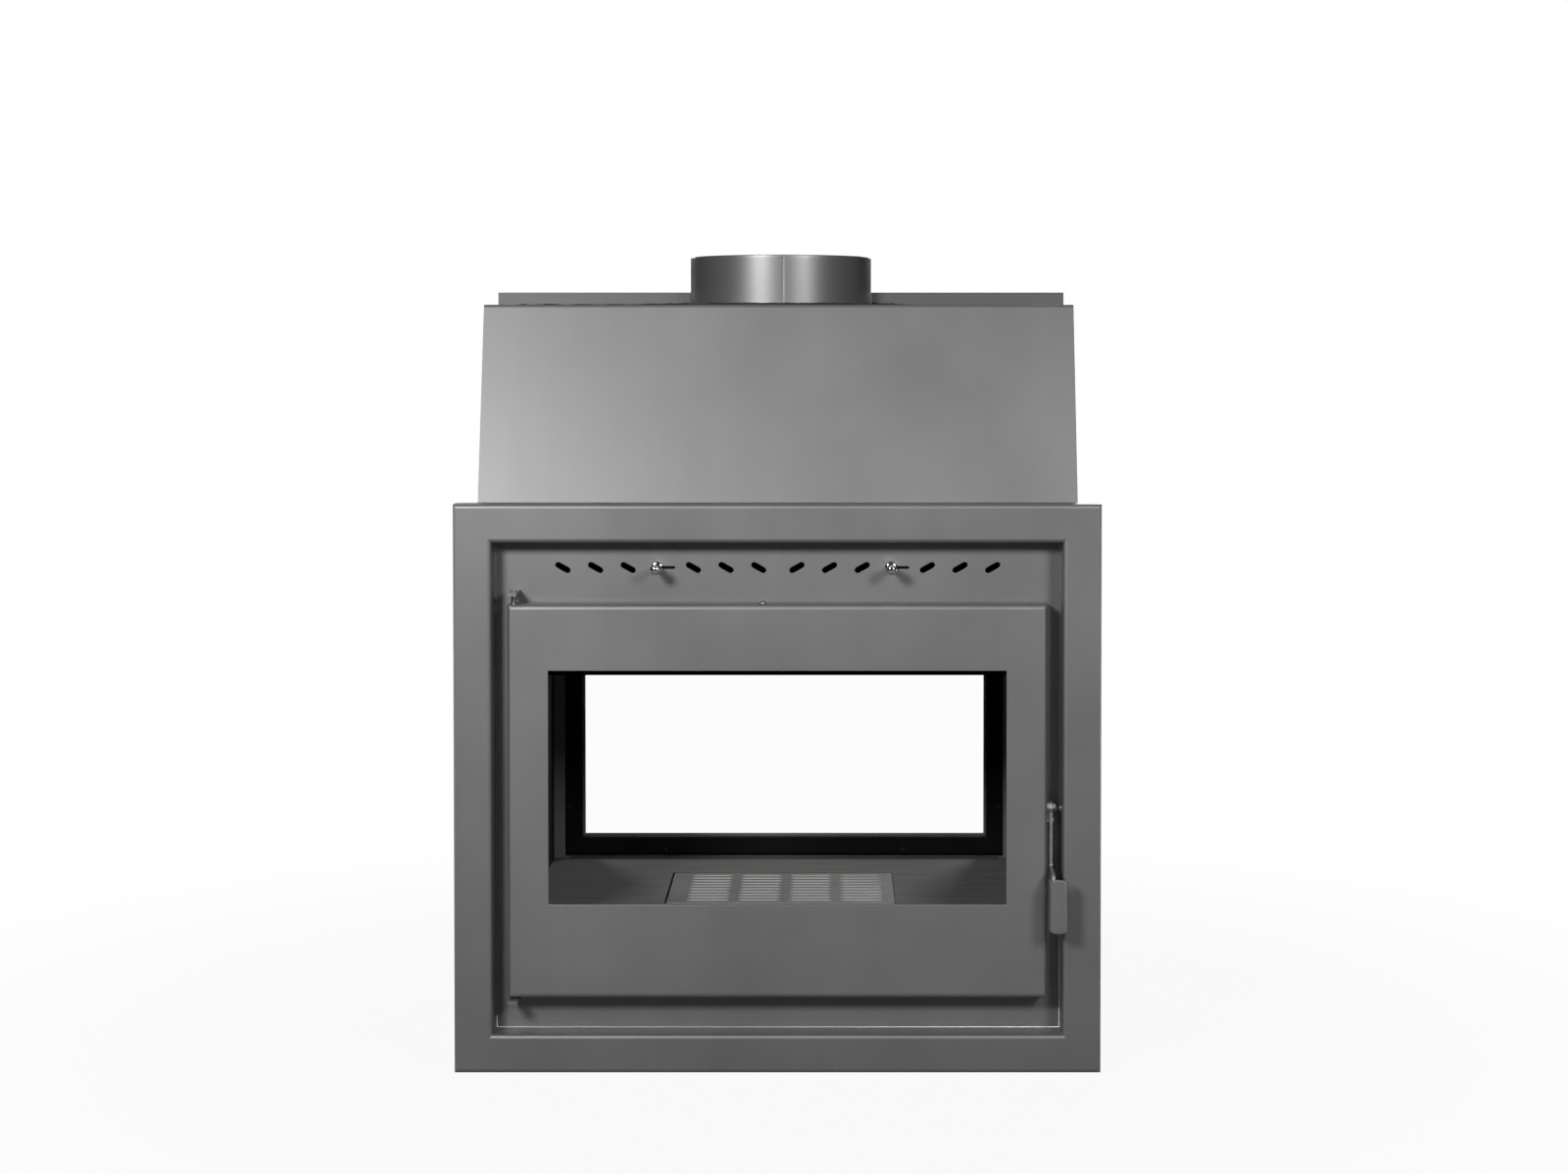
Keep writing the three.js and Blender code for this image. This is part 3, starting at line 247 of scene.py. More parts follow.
def rounded(radius, depth, centre_r, centre_a, start_degrees, end_degrees, steps=5):
    """Points of an arc in a turned profile."""
    sweep = end_degrees - start_degrees
    turns = [math.radians(start_degrees + sweep * i / steps) for i in range(steps + 1)]
    return [(centre_r + radius * math.cos(t), centre_a + depth * math.sin(t)) for t in turns]


def flue_collar():
    """The rolled ring, with its seam as a shallow groove and a low weld ridge beside it."""
    outer, inner, foot, top, rim, steps = 125.0, 122.0, 900.3, 1068.0, 1.0, 180
    hood_line, seam_end, seam_top, seam_x = 1006.0, 1063.0, 1064.0, 4.3
    groove, ridge = 0.8, 0.25
    seam = ((-1.6, 0), (-0.7, 0), (-0.5, groove), (0.5, groove), (0.7, 0), (1.3, -ridge), (2.2, 0))
    profile = [(inner, foot), (outer, foot), (outer, hood_line), (outer, seam_end), (outer, seam_top)]
    profile += rounded(rim, rim, outer - rim, top - rim, 0, 90)
    profile += rounded(rim, rim, inner + rim, top - rim, 90, 180)
    full = 2 * math.pi
    first, last = seam[0][0] / outer, seam[-1][0] / outer
    around = [(full * i / steps, 0) for i in range(1, steps) if last < full * i / steps < full + first]
    around += [(full + distance / outer, dip) for distance, dip in seam]
    seam_turn = -math.pi / 2 + seam_x / outer
    points = []
    for turn, dip in around:
        for radius, z in profile:
            sunk = dip if radius == outer and z < seam_top else 0
            out = (radius - sunk) / 1000
            points.append((out * math.cos(turn + seam_turn), out * math.sin(turn + seam_turn), z / 1000))
    finish = stove_painted_steel("stove_painted_collar", 1.0, "#7c7c7c", "#868686", 0.36, 0.42)
    made = piece("rolled_flue_collar", points, grid_faces(len(around), len(profile), False, True), finish)
    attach(made, "casing")
    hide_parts("flue_collar")


flue_collar()


# Fire cement: a black bead that seals the root of the standing seam and the collar's foot.
# It is smeared on by hand with a finger, so it is uneven, thickest beside the collar.
def fire_cement():
    """Dull black cement paste with small lumps."""
    lump_mm = 2.2
    made, tree = material("fire_cement")
    place = add(tree, "TexCoord", {}, {}).outputs["Object"]
    lumps = add(tree, "TexNoise", {}, {"Vector": place, "Scale": per_metre(lump_mm), "Detail": 3})
    colour = add(tree, "Mix", {"data_type": "RGBA"},
                 {0: lumps.outputs[0], 6: linear("#171717"), 7: linear("#343433")})
    bump = add(tree, "Bump", {}, {"Height": lumps.outputs[0], "Strength": 0.6, "Distance": 0.0006})
    shader = add(tree, "BsdfPrincipled", {},
                 {"Base Color": colour.outputs[2], "Roughness": 0.85, "Normal": bump.outputs[0]})
    add(tree, "OutputMaterial", {}, {"Surface": shader.outputs[0]})
    return made


cement = fire_cement()


def swept(name, path, section, finish, closed=False, crease_degrees=60):
    """A section carried along a path of frames. A frame is a centre, an across and an up."""
    points = []
    for i, (centre, across, up) in enumerate(path):
        for u, v in section(i):
            points.append((centre + across * u + up * v) / 1000)
    around = len(section(0))
    faces = grid_faces(len(path), around, not closed, closed)
    return piece(name, points, faces, finish, crease_degrees)


def bead(name, path, height_at, seed, closed=False):
    """An uneven bead, its height given along the path."""
    smear, lump, lump_share, uneven, slender, lump_row = 0.11, 0.41, 0.5, 0.45, 0.8, 7

    def section(i):
        wave = noise.noise(Vector((i * smear, seed, 0)))
        wave += lump_share * noise.noise(Vector((i * lump, seed, lump_row)))
        height = height_at(i / (len(path) - 1)) * (1 + uneven * wave)
        width = height * slender
        turns = [math.radians(a) for a in (-20, 10, 45, 90, 135, 170, 200)]
        return [(width * math.cos(t), height * math.sin(t)) for t in turns]

    made = swept(name, path, section, cement, closed)
    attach(made, "casing")


def seam_beads():
    """The beads along the seam's front and rear foot, from the collar outwards."""
    step, seam_half, clear, foot, collar_gap, taper = 2.5, 3.6, 1.2, 1000.2, 127, 3
    up = Vector((0, 0, 1))
    for side, turn in zip(SIDES, (1, -1)):
        across = Vector((0, turn, 0))
        for name, reach, thick, thin in (("left", -362, 5.4, 3.6), ("right", 352, 6.4, 1.4)):
            count = int((abs(reach) - collar_gap) / step)
            along = turn * math.copysign(1, reach)
            path = []
            for i in range(count + 1):
                x = along * (collar_gap + i * step)
                path.append((Vector((x, -turn * (seam_half + clear), foot)), across, up))

            def height_at(share):
                return thin + (thick - thin) * max(0, 1 - taper * share)

            bead(f"seam_cement_{name}_{side}", path, height_at, turn + reach)


def collar_bead():
    """The bead round the collar's foot."""
    radius, steps, foot, height, seed = 126.5, 180, 1000.2, 3.4, 3
    path = []
    for i in range(steps):
        turn = 2 * math.pi * i / steps
        out = Vector((math.cos(turn), math.sin(turn), 0))
        path.append((out * radius + Vector((0, 0, foot)), out, Vector((0, 0, 1))))
    bead("collar_cement", path, lambda share: height, seed, True)


seam_beads()
collar_bead()


# Grate: one grey iron casting with rows of bars, lying loose in the hearth.
# It is sand cast and left bare, so it is grainy. Its tops are darker and blotchy; the walls of its slots
# are painted pale and its edges lighter still, painted highlights where light catches the bars.
def sand_cast_iron():
    """Bare grey iron with the grain of the sand mould: darker blotchy tops, slot walls painted pale and
    edges painted light as painted highlights.
    """
    sand_mm, blotch_mm, edge_mm = 1.4, 26, 0.6
    made, tree = material("sand_cast_iron")
    place = add(tree, "TexCoord", {}, {}).outputs["Object"]
    sand = add(tree, "TexNoise", {}, {"Vector": place, "Scale": per_metre(sand_mm), "Detail": 3})
    blotch = add(tree, "TexNoise", {}, {"Vector": place, "Scale": per_metre(blotch_mm), "Detail": 3})
    up = add(tree, "SeparateXYZ", {}, {"Vector": add(tree, "NewGeometry", {}, {}).outputs["Normal"]})
    # Painted highlight: faces other than tops, the walls of the slots, are painted pale.
    flat = add(tree, "MapRange", {},
               {"Value": up.outputs["Z"], "From Min": 0.3, "From Max": 0.8, "To Min": 0, "To Max": 1})
    top_blotch_tone = add(tree, "Mix", {"data_type": "RGBA"},
               {0: blotch.outputs[0], 6: linear("#4c4c4a"), 7: linear("#6c6c6a")})
    tone = add(tree, "Mix", {"data_type": "RGBA"},
               {0: flat.outputs[0], 6: linear("#b4b4b2"), 7: top_blotch_tone.outputs[2]})
    grain = add(tree, "Mix", {"data_type": "RGBA", "blend_type": "MULTIPLY"},
                {0: 0.3, 6: tone.outputs[2], 7: sand.outputs[1]})
    soft = add(tree, "Bevel", {"samples": 8}, {"Radius": edge_mm / 1000})
    true = add(tree, "NewGeometry", {}, {})
    bend = add(tree, "VectorMath", {"operation": "DOT_PRODUCT"},
               {0: soft.outputs[0], 1: true.outputs["Normal"]})
    # Painted highlight along the edges of the bars.
    painted_edge_highlight = add(tree, "MapRange", {},
                 {"Value": bend.outputs["Value"], "From Min": 0.97, "From Max": 0.75,
                  "To Min": 0, "To Max": 0.9})
    colour = add(tree, "Mix", {"data_type": "RGBA"},
                 {0: painted_edge_highlight.outputs[0], 6: grain.outputs[2], 7: linear("#d2d2d0")})
    bump = add(tree, "Bump", {}, {"Height": sand.outputs[0], "Strength": 0.35, "Distance": 0.0006,
                                  "Normal": soft.outputs[0]})
    shader = add(tree, "BsdfPrincipled", {},
                 {"Base Color": colour.outputs[2], "Metallic": 0.3, "Roughness": 0.5,
                  "Normal": bump.outputs[0]})
    add(tree, "OutputMaterial", {}, {"Surface": shader.outputs[0]})
    return made


dress(sand_cast_iron(), "grate")


# Ash pan: 1.5 mm galvanised sheet, folded into a tray with turned rims.
# The zinc gives it a faint spangle and a soft bluish shine.
def bright_zinc_plate(name, smooth, dull):
    """Bright zinc plating: faint spangle and fine rubbing."""
    spangle_mm, rub_mm, edge_mm = 7, 0.8, 0.3
    made, tree = material(name)
    place = add(tree, "TexCoord", {}, {}).outputs["Object"]
    spangle = add(tree, "TexVoronoi", {}, {"Vector": place, "Scale": per_metre(spangle_mm)})
    rub = add(tree, "TexNoise", {}, {"Vector": place, "Scale": per_metre(rub_mm), "Detail": 2})
    colour = add(tree, "Mix", {"data_type": "RGBA"},
                 {0: spangle.outputs["Distance"], 6: linear("#a6a7a8"), 7: linear("#8d8e90")})
    rough = add(tree, "MapRange", {},
                {"Value": rub.outputs[0], "From Min": 0.3, "From Max": 0.7,
                 "To Min": smooth, "To Max": dull})
    soft = add(tree, "Bevel", {"samples": 4}, {"Radius": edge_mm / 1000})
    shader = add(tree, "BsdfPrincipled", {},
                 {"Base Color": colour.outputs[2], "Metallic": 1.0, "Roughness": rough.outputs[0],
                  "Normal": soft.outputs[0]})
    add(tree, "OutputMaterial", {}, {"Surface": shader.outputs[0]})
    return made


zinc = bright_zinc_plate("bright_zinc_plate", 0.24, 0.40)
dress(zinc, "ash_pan")


# Surrounds and fascias: the flat frame round each opening and the recessed panel behind it.
# Both are folded from 3 mm sheet and painted with the casing. A ground weld fillet fills the corner
# where the frame's return meets the panel; its paint is a lighter copy, a painted highlight that shows as a
# fine light line.
dress(stove_paint, *both("surround", "fascia"))


def facing(side, x, out, z):
    """A point on the front or rear face: x to the right as that face is seen, out from the middle."""
    turn = 1 if side == "front" else -1
    return Vector((turn * x, -turn * out, z))


def corner_fillets():
    """The ground fillet round each opening, its corners mitred, its paint lighter as a painted highlight.
    """
    half, foot, top, panel, radius, clear, steps = 370, 50, 690, 235, 2.0, 0.05, 6
    # A lighter copy of the casing paint: a painted highlight along the fillet.
    finish = stove_painted_steel("stove_painted_fillet_highlight", 0.3, "#969696", "#a4a4a4", 0.36, 0.42)
    turns = [math.pi / 2 * i / steps for i in range(steps + 1)]
    hollow = [(radius * (1 - math.cos(t)) + clear, radius * (1 - math.sin(t)) + clear) for t in turns]
    for side in SIDES:
        outwards = facing(side, 0, 1, 0)
        corners = ((half, foot, -1, 1), (half, top, -1, -1), (-half, top, 1, -1), (-half, foot, 1, 1))
        path = [(facing(side, x, panel, z), facing(side, ix, 0, iz), outwards) for x, z, ix, iz in corners]
        made = swept(f"corner_fillet_{side}", path, lambda i: [(clear, clear)] + hollow, finish, True, 40)
        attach(made, "casing")


corner_fillets()


# Hinges: flat lugs welded to the fascia, each bored for a turned pin.
# The pins are zinc plated, with bevelled ends, and the lower one has a shoulder that carries the door.
lug_paint = stove_painted_steel("stove_painted_lugs", 0.5)
dress(lug_paint, *both("hinge_bracket_upper", "hinge_bracket_lower"))


def turned_piece(name, profile, centre, axis, finish, steps=48):
    """A profile of radius and distance, in millimetres, turned about an axis through a centre."""
    along = Vector(axis)
    side = along.orthogonal().normalized()
    other = along.cross(side)
    points = []
    for radius, distance in profile:
        for i in range(steps):
            turn = 2 * math.pi * i / steps
            out = side * math.cos(turn) + other * math.sin(turn)
            points.append((Vector(centre) + out * radius + along * distance) / 1000)
    return piece(name, points, grid_faces(len(profile), steps, True), finish)


def hinge_pins():
    """The upper and lower pin of each door."""
    x, out, radius, chamfer, foot_edge, top_edge, tiny = -342.9, 258, 3.5, 0.8, 0.5, 0.4, 0.6
    foot, top = 605.5, 627.2
    upper = [(tiny, foot), (radius - chamfer, foot), (radius, foot + chamfer), (radius, top - top_edge)]
    upper += [(radius - top_edge, top), (tiny, top)]
    foot, shoulder, shoulder_foot, shoulder_top, top = 87.7, 6, 96.0, 97.7, 105.5
    lower = [(tiny, foot), (radius - foot_edge, foot), (radius, foot + foot_edge), (radius, shoulder_foot)]
    lower += [(shoulder, shoulder_foot), (shoulder, shoulder_top), (radius, shoulder_top)]
    lower += [(radius, top - chamfer), (radius - chamfer, top), (tiny, top)]
    for side in SIDES:
        centre = facing(side, x, out, 0)
        for level, profile in (("upper", upper), ("lower", lower)):
            made = turned_piece(f"turned_pin_{level}_{side}", profile, centre, (0, 0, 1), zinc)
            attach(made, "casing")
            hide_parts(f"hinge_pin_{level}_{side}")


hinge_pins()


# Shutters: a 2 mm sliding strip behind the slots, moved by two turned brass buttons.
# The buttons are polished and chrome plated, so they mirror the lamps as small hard spots.
def chrome_plate():
    """Decorative chrome: a clean mirror with faint wiping marks."""
    wipe_mm = 1.5
    made, tree = material("chrome_plate")
    place = add(tree, "TexCoord", {}, {}).outputs["Object"]
    wipe = add(tree, "TexNoise", {}, {"Vector": place, "Scale": per_metre(wipe_mm), "Detail": 2})
    colour = add(tree, "Mix", {"data_type": "RGBA"},
                 {0: wipe.outputs[0], 6: linear("#e4e5e6"), 7: linear("#d6d7d8")})
    rough = add(tree, "MapRange", {},
                {"Value": wipe.outputs[0], "From Min": 0.3, "From Max": 0.7,
                 "To Min": 0.03, "To Max": 0.07})
    shader = add(tree, "BsdfPrincipled", {},
                 {"Base Color": colour.outputs[2], "Metallic": 1.0, "Roughness": rough.outputs[0]})
    add(tree, "OutputMaterial", {}, {"Surface": shader.outputs[0]})
    return made


dress(plate_black, *both("shutter_plate"))
chrome = chrome_plate()


def domed(radius, rise, foot, degrees):
    """Points of a dome in a turned profile, at the given angles above its foot."""
    turns = [math.radians(a) for a in degrees]
    return [(radius * math.cos(t), foot + rise * math.sin(t)) for t in turns]


def shutter_knobs():
    """Two domed buttons on each face, with a washer flange against the fascia."""
    z, stem, rivet, edge, tiny = 655, 1.5, 3.0, 0.4, 0.3
    flange, flare, neck, swell, head, dome = 7.8, 5.4, 4.9, 6.5, 6.8, 4.4
    back, plate_back, panel = 228.2, 229.4, 235.3
    flange_side, flange_top, flange_end, root = panel + edge, panel + 1.4, panel + 2.4, panel + 4
    neck_end, flare_at, swell_at, head_at, shoulder = 262, 265, 267.5, 269, 275.6
    profile = [(tiny, back), (rivet - edge, back), (rivet, back + edge), (rivet, plate_back)]
    profile += [(stem, plate_back), (stem, panel), (flange - edge, panel), (flange, flange_side)]
    profile += [(flange, flange_top), (flange - 1.5 * edge, flange_end - edge), (flare, flange_end)]
    profile += [(neck, root), (neck, neck_end), (flare, flare_at), (swell, swell_at), (head, head_at)]
    profile += [(head, shoulder)] + domed(head, dome, shoulder, (*range(8, 81, 8), 87))
    for side in SIDES:
        axis = facing(side, 0, 1, 0)
        for name, x in (("left", -158.0), ("right", 148.0)):
            made = turned_piece(f"domed_knob_{name}_{side}", profile, facing(side, x, 0, z), axis, chrome)
            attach(made, f"shutter_{side}")
            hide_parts(f"shutter_knob_{name}_{side}")


shutter_knobs()


# Doors: a 3 mm face with its edges folded back and a channel for the rope, painted with the casing.
# A button-head screw stands in each top edge.
door_paint = stove_painted_steel("stove_painted_door", 1.9, "#808080", "#898989")
dress(door_paint, *both("door_shell"))


def door_top_screws():
    """The button-head screw in each door's top edge."""
    x, out, seat, head, shank, length, edge, tiny = -19, 262, 610.3, 5.0, 2.5, 10, 0.5, 0.3
    dome, socket, socket_foot, socket_rim, socket_flare = 3.2, 1.7, 1.6, 3.3, 0.2
    profile = [(tiny, seat - length), (shank - edge, seat - length), (shank, seat - length + edge)]
    profile += [(shank, seat), (head, seat)] + domed(head, dome, seat + edge, (0, 15, 30, 45, 58))
    profile += [(socket + socket_flare, seat + socket_rim), (socket, seat + socket_foot)]
    profile += [(tiny, seat + socket_foot)]
    for side in SIDES:
        made = turned_piece(f"button_screw_{side}", profile, facing(side, x, out, 0), (0, 0, 1), zinc)
        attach(made, f"door_{side}")
        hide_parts(f"door_top_screw_{side}")


door_top_screws()


# Door glass: 4 mm clear ceramic glass behind the window, bedded on a flat gasket.
# It is clean, with a hardly visible film that takes a little off its shine.
def ceramic_glass():
    """Clear ceramic glass. Lamps and sight pass straight through it, and it mirrors a little."""
    film_mm = 90
    made, tree = material("ceramic_glass")
    place = add(tree, "TexCoord", {}, {}).outputs["Object"]
    film = add(tree, "TexNoise", {}, {"Vector": place, "Scale": per_metre(film_mm), "Detail": 3})
    rough = add(tree, "MapRange", {},
                {"Value": film.outputs[0], "From Min": 0.3, "From Max": 0.7,
                 "To Min": 0.02, "To Max": 0.05})
    clear = add(tree, "BsdfTransparent", {}, {"Color": linear("#ffffff")})
    shine = add(tree, "BsdfPrincipled", {},
                {"Base Color": linear("#0c0d0d"), "Roughness": rough.outputs[0], "IOR": 1.45})
    edge = add(tree, "LayerWeight", {}, {"Blend": 0.12})
    share = add(tree, "MapRange", {},
                {"Value": edge.outputs["Fresnel"], "From Min": 0, "From Max": 1,
                 "To Min": 0.004, "To Max": 0.8})
    mixed = add(tree, "MixShader", {}, {0: share.outputs[0], 1: clear.outputs[0], 2: shine.outputs[0]})
    add(tree, "OutputMaterial", {}, {"Surface": mixed.outputs[0]})
    return made


dress(ceramic_glass(), *both("door_glass"))


# Seals: the door's 8 mm rope, and the flat tape under the glass.
# Both are knitted from glass fibre and dyed black, so they look soft and swallow the light.
def glass_fibre_knit():
    """Black knitted glass fibre with a slanting stitch."""
    stitch_mm = 3.2
    made, tree = material("glass_fibre_knit")
    place = add(tree, "TexCoord", {}, {}).outputs["Object"]
    turn = add(tree, "Mapping", {}, {"Vector": place, "Rotation": (0.6, 0.7, 0.8)})
    stitch = add(tree, "TexVoronoi", {}, {"Vector": turn.outputs[0], "Scale": per_metre(stitch_mm)})
    colour = add(tree, "Mix", {"data_type": "RGBA"},
                 {0: stitch.outputs["Distance"], 6: linear("#2e2e2d"), 7: linear("#111111")})
    bump = add(tree, "Bump", {"invert": True}, {"Height": stitch.outputs["Distance"], "Strength": 0.8,
                                                "Distance": 0.0008})
    shader = add(tree, "BsdfPrincipled", {},
                 {"Base Color": colour.outputs[2], "Roughness": 0.95, "Specular IOR Level": 0.2,
                  "Normal": bump.outputs[0]})
    add(tree, "OutputMaterial", {}, {"Surface": shader.outputs[0]})
    return made


knit = glass_fibre_knit()


def ring_path(side, half_width, foot, top, out, corner, step):
    """Frames along a rectangle with round corners. Across points inwards and up points outwards."""
    bend_degrees = 15
    middle = (foot + top) / 2
    reach_x, reach_z = half_width - corner, (top - foot) / 2 - corner
    places = []
    for sx, sz, start in ((1, 1, 0), (-1, 1, 90), (-1, -1, 180), (1, -1, 270)):
        for degrees in range(start, start + 91, bend_degrees):
            turn = math.radians(degrees)
            ux, uz = math.cos(turn), math.sin(turn)
            places.append((sx * reach_x + corner * ux, middle + sz * reach_z + corner * uz, -ux, -uz))
        ax, az, ix, iz = places[-1]
        length = 2 * (reach_x if start in (0, 180) else reach_z)
        count = int(length / step)
        for i in range(1, count):
            go = length * i / count
            places.append((ax + iz * go, az - ix * go, ix, iz))
    outwards = facing(side, 0, 1, 0)
    return [(facing(side, x, out, z), facing(side, ix, 0, iz), outwards) for x, z, ix, iz in places]


def door_ropes():
    """The braided rope in each door's channel."""
    half, foot, top, out, corner, step = 342.5, 105.5, 602.5, 241.2, 8, 3
    wide, deep, groove_share = 4.2, 5.7, 0.10
    around, strands, pitch = 12, 3, 9
    for side in SIDES:
        path = ring_path(side, half, foot, top, out, corner, step)

        def section(i):
            points = []
            for j in range(around):
                turn = 2 * math.pi * j / around
                across, along = strands * turn / 2, math.pi * i * step / pitch
                braid = min(abs(math.sin(across + along)), abs(math.sin(across - along)))
                swell = 1 - groove_share + groove_share * braid
                points.append((wide * swell * math.cos(turn), deep * swell * math.sin(turn)))
            return points

        made = swept(f"braided_rope_{side}", path, section, knit, True, 80)
        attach(made, f"door_{side}")
        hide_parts(f"door_seal_{side}")


def glass_tapes():
    """The flat tape between each glass and its door."""
    half, foot, top, out, corner, step = 306, 211, 533, 271.0, 8, 6
    wide, deep, bevel, fray, fray_step, fray_row = 5.4, 0.7, 0.5, 0.3, 0.7, 2
    for side in SIDES:
        path = ring_path(side, half, foot, top, out, corner, step)

        def section(i):
            edge = wide + fray * noise.noise(Vector((i * fray_step, fray_row, 0)))
            flat, side_deep = edge - bevel, deep / 2
            return [(-edge, -side_deep), (-flat, -deep), (flat, -deep), (edge, -side_deep),
                    (edge, side_deep), (flat, deep), (-flat, deep), (-edge, side_deep)]

        made = swept(f"knitted_tape_{side}", path, section, knit, True, 40)
        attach(made, f"door_{side}")
        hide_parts(f"glass_gasket_{side}")


door_ropes()
glass_tapes()


# Glass retainers: a folded frame behind each glass, held by eight pan-head screws.
# The frame is painted black and the screws are blackened, each with a cross recess.
dress(plate_black, *both("glass_retainer"))


def black_oxide():
    """Black oxide on steel: a dark brown-black skin with an oily sheen."""
    skin_mm = 1.2
    made, tree = material("black_oxide")
    place = add(tree, "TexCoord", {}, {}).outputs["Object"]
    skin = add(tree, "TexNoise", {}, {"Vector": place, "Scale": per_metre(skin_mm), "Detail": 2})
    colour = add(tree, "Mix", {"data_type": "RGBA"},
                 {0: skin.outputs[0], 6: linear("#121111"), 7: linear("#211f1e")})
    shader = add(tree, "BsdfPrincipled", {},
                 {"Base Color": colour.outputs[2], "Roughness": 0.5, "Specular IOR Level": 0.35})
    add(tree, "OutputMaterial", {}, {"Surface": shader.outputs[0]})
    return made


oxide = black_oxide()


def pan_head(name, centre, axis, radius, height):
    """A screw's pan head: a domed disc with a sunk cross."""
    steps, rings, rim_share, dome_share, centre_share = 32, 9, 0.45, 0.55, 0.02
    along = Vector(axis)
    side = along.orthogonal().normalized()
    other = along.cross(side)
    arm, depth, reach = 0.16 * radius, 0.35 * height, 0.62 * radius
    points = []
    for r in range(rings + 2):
        share = min(max(r / rings, centre_share), 1)
        for i in range(steps):
            turn = 2 * math.pi * i / steps
            u, v = share * radius * math.cos(turn), share * radius * math.sin(turn)
            rise = height * (rim_share + dome_share * math.sqrt(max(0, 1 - share * share)))
            sunk = (abs(u) < arm and abs(v) < reach) or (abs(v) < arm and abs(u) < reach)
            rise = 0 if r > rings else rise - (depth if sunk else 0)
            points.append((Vector(centre) + side * u + other * v + along * rise) / 1000)
    return piece(name, points, grid_faces(rings + 2, steps, True), oxide)


def retainer_screws():
    """The eight screws of each retainer, their heads just over the frame."""
    half, foot, top, out, radius, height = 320.5, 196.5, 547.5, 262.75, 4.2, 2.9
    middle, rise, reach = 372, 112.48, 178.2
    places = [(-half, middle - rise), (-half, middle + rise), (half, middle - rise), (half, middle + rise),
              (-reach, foot), (reach, foot), (-reach, top), (reach, top)]
    for side in SIDES:
        axis = facing(side, 0, -1, 0)
        for i, (x, z) in enumerate(places):
            centre = facing(side, x, out, z)
            made = pan_head(f"retainer_screw_{i}_{side}", centre, axis, radius, height)
            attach(made, f"door_{side}")


retainer_screws()


# Handles: a flat zinc-plated lever and latch hook, riveted together and turning on a stud
# in the door's edge under a domed nut. The grip is a folded channel with wide round folds,
# painted with the door.
# The grip's wide edge softening also widens the painted highlight along its folds.
grip_paint = stove_painted_steel("stove_painted_grip", 3.2)
dress(grip_paint, *both("handle_grip"))
satin_zinc = bright_zinc_plate("satin_zinc_plate", 0.44, 0.56)
dress(satin_zinc, *both("handle_lever", "latch_hook"))


def handle_studs():
    """The stud through the door's edge, with its domed hexagon nut."""
    z, out, tiny, shank, washer, edge = 344, 257.5, 0.3, 3, 6, 0.6
    back, washer_end, flat = 343.7, 346.7, 358.2
    tip, dome, dome_foot, dome_rise = 4.9, 4.6, 3.2, 2.1
    across, chamfer, nut_side, nut_top = 10, 0.5, 2.9, 3.4
    stud = [(tiny, back), (washer - edge, back), (washer, back + edge), (washer, washer_end)]
    stud += [(shank, washer_end), (shank, flat), (tip, flat), (tip, flat + dome_foot)]
    stud += domed(dome, dome_rise, flat + dome_foot, (5, 20, 35, 50, 65, 80, 88))
    corner = across / 2 / math.cos(math.pi / 6)
    levels = ((corner - chamfer, flat), (corner, flat + chamfer), (corner, flat + nut_side),
              (corner - chamfer, flat + nut_top))
    for side in SIDES:
        axis = facing(side, 1, 0, 0)
        made = turned_piece(f"pivot_stud_{side}", stud, facing(side, 0, out, z), axis, satin_zinc)
        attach(made, f"handle_{side}")
        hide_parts(f"handle_pivot_{side}")
        points = []
        for radius, x in levels:
            for i in range(6):
                turn = math.pi * i / 3
                corner_out, corner_z = out + radius * math.cos(turn), z + radius * math.sin(turn)
                points.append(facing(side, x, corner_out, corner_z) / 1000)
        nut = piece(f"pivot_nut_{side}", points, grid_faces(len(levels), 6, True), satin_zinc, 20)
        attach(nut, f"handle_{side}")


handle_studs()


# Keepers: a turned pin with a flange, welded to the edge of the opening beside each latch.
# It is zinc plated, and its tip is bevelled so that the hook slides behind it.
def latch_keepers():
    """The keeper pin of each latch."""
    z, out, tiny, pin, bevel, bevel_end = 340.4, 245.0, 0.3, 3.0, 0.6, 351.9
    tip, flange_at, back, flange, edge = 351.2, 366.7, 369.7, 7.0, 0.4
    profile = [(tiny, tip), (pin - bevel, tip), (pin, bevel_end), (pin, flange_at)]
    profile += [(flange - edge, flange_at), (flange, flange_at + edge), (flange, back), (tiny, back)]
    for side in SIDES:
        centre, axis = facing(side, 0, out, z), facing(side, 1, 0, 0)
        made = turned_piece(f"keeper_pin_{side}", profile, centre, axis, zinc)
        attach(made, "casing")
        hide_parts(f"latch_keeper_{side}")


latch_keepers()


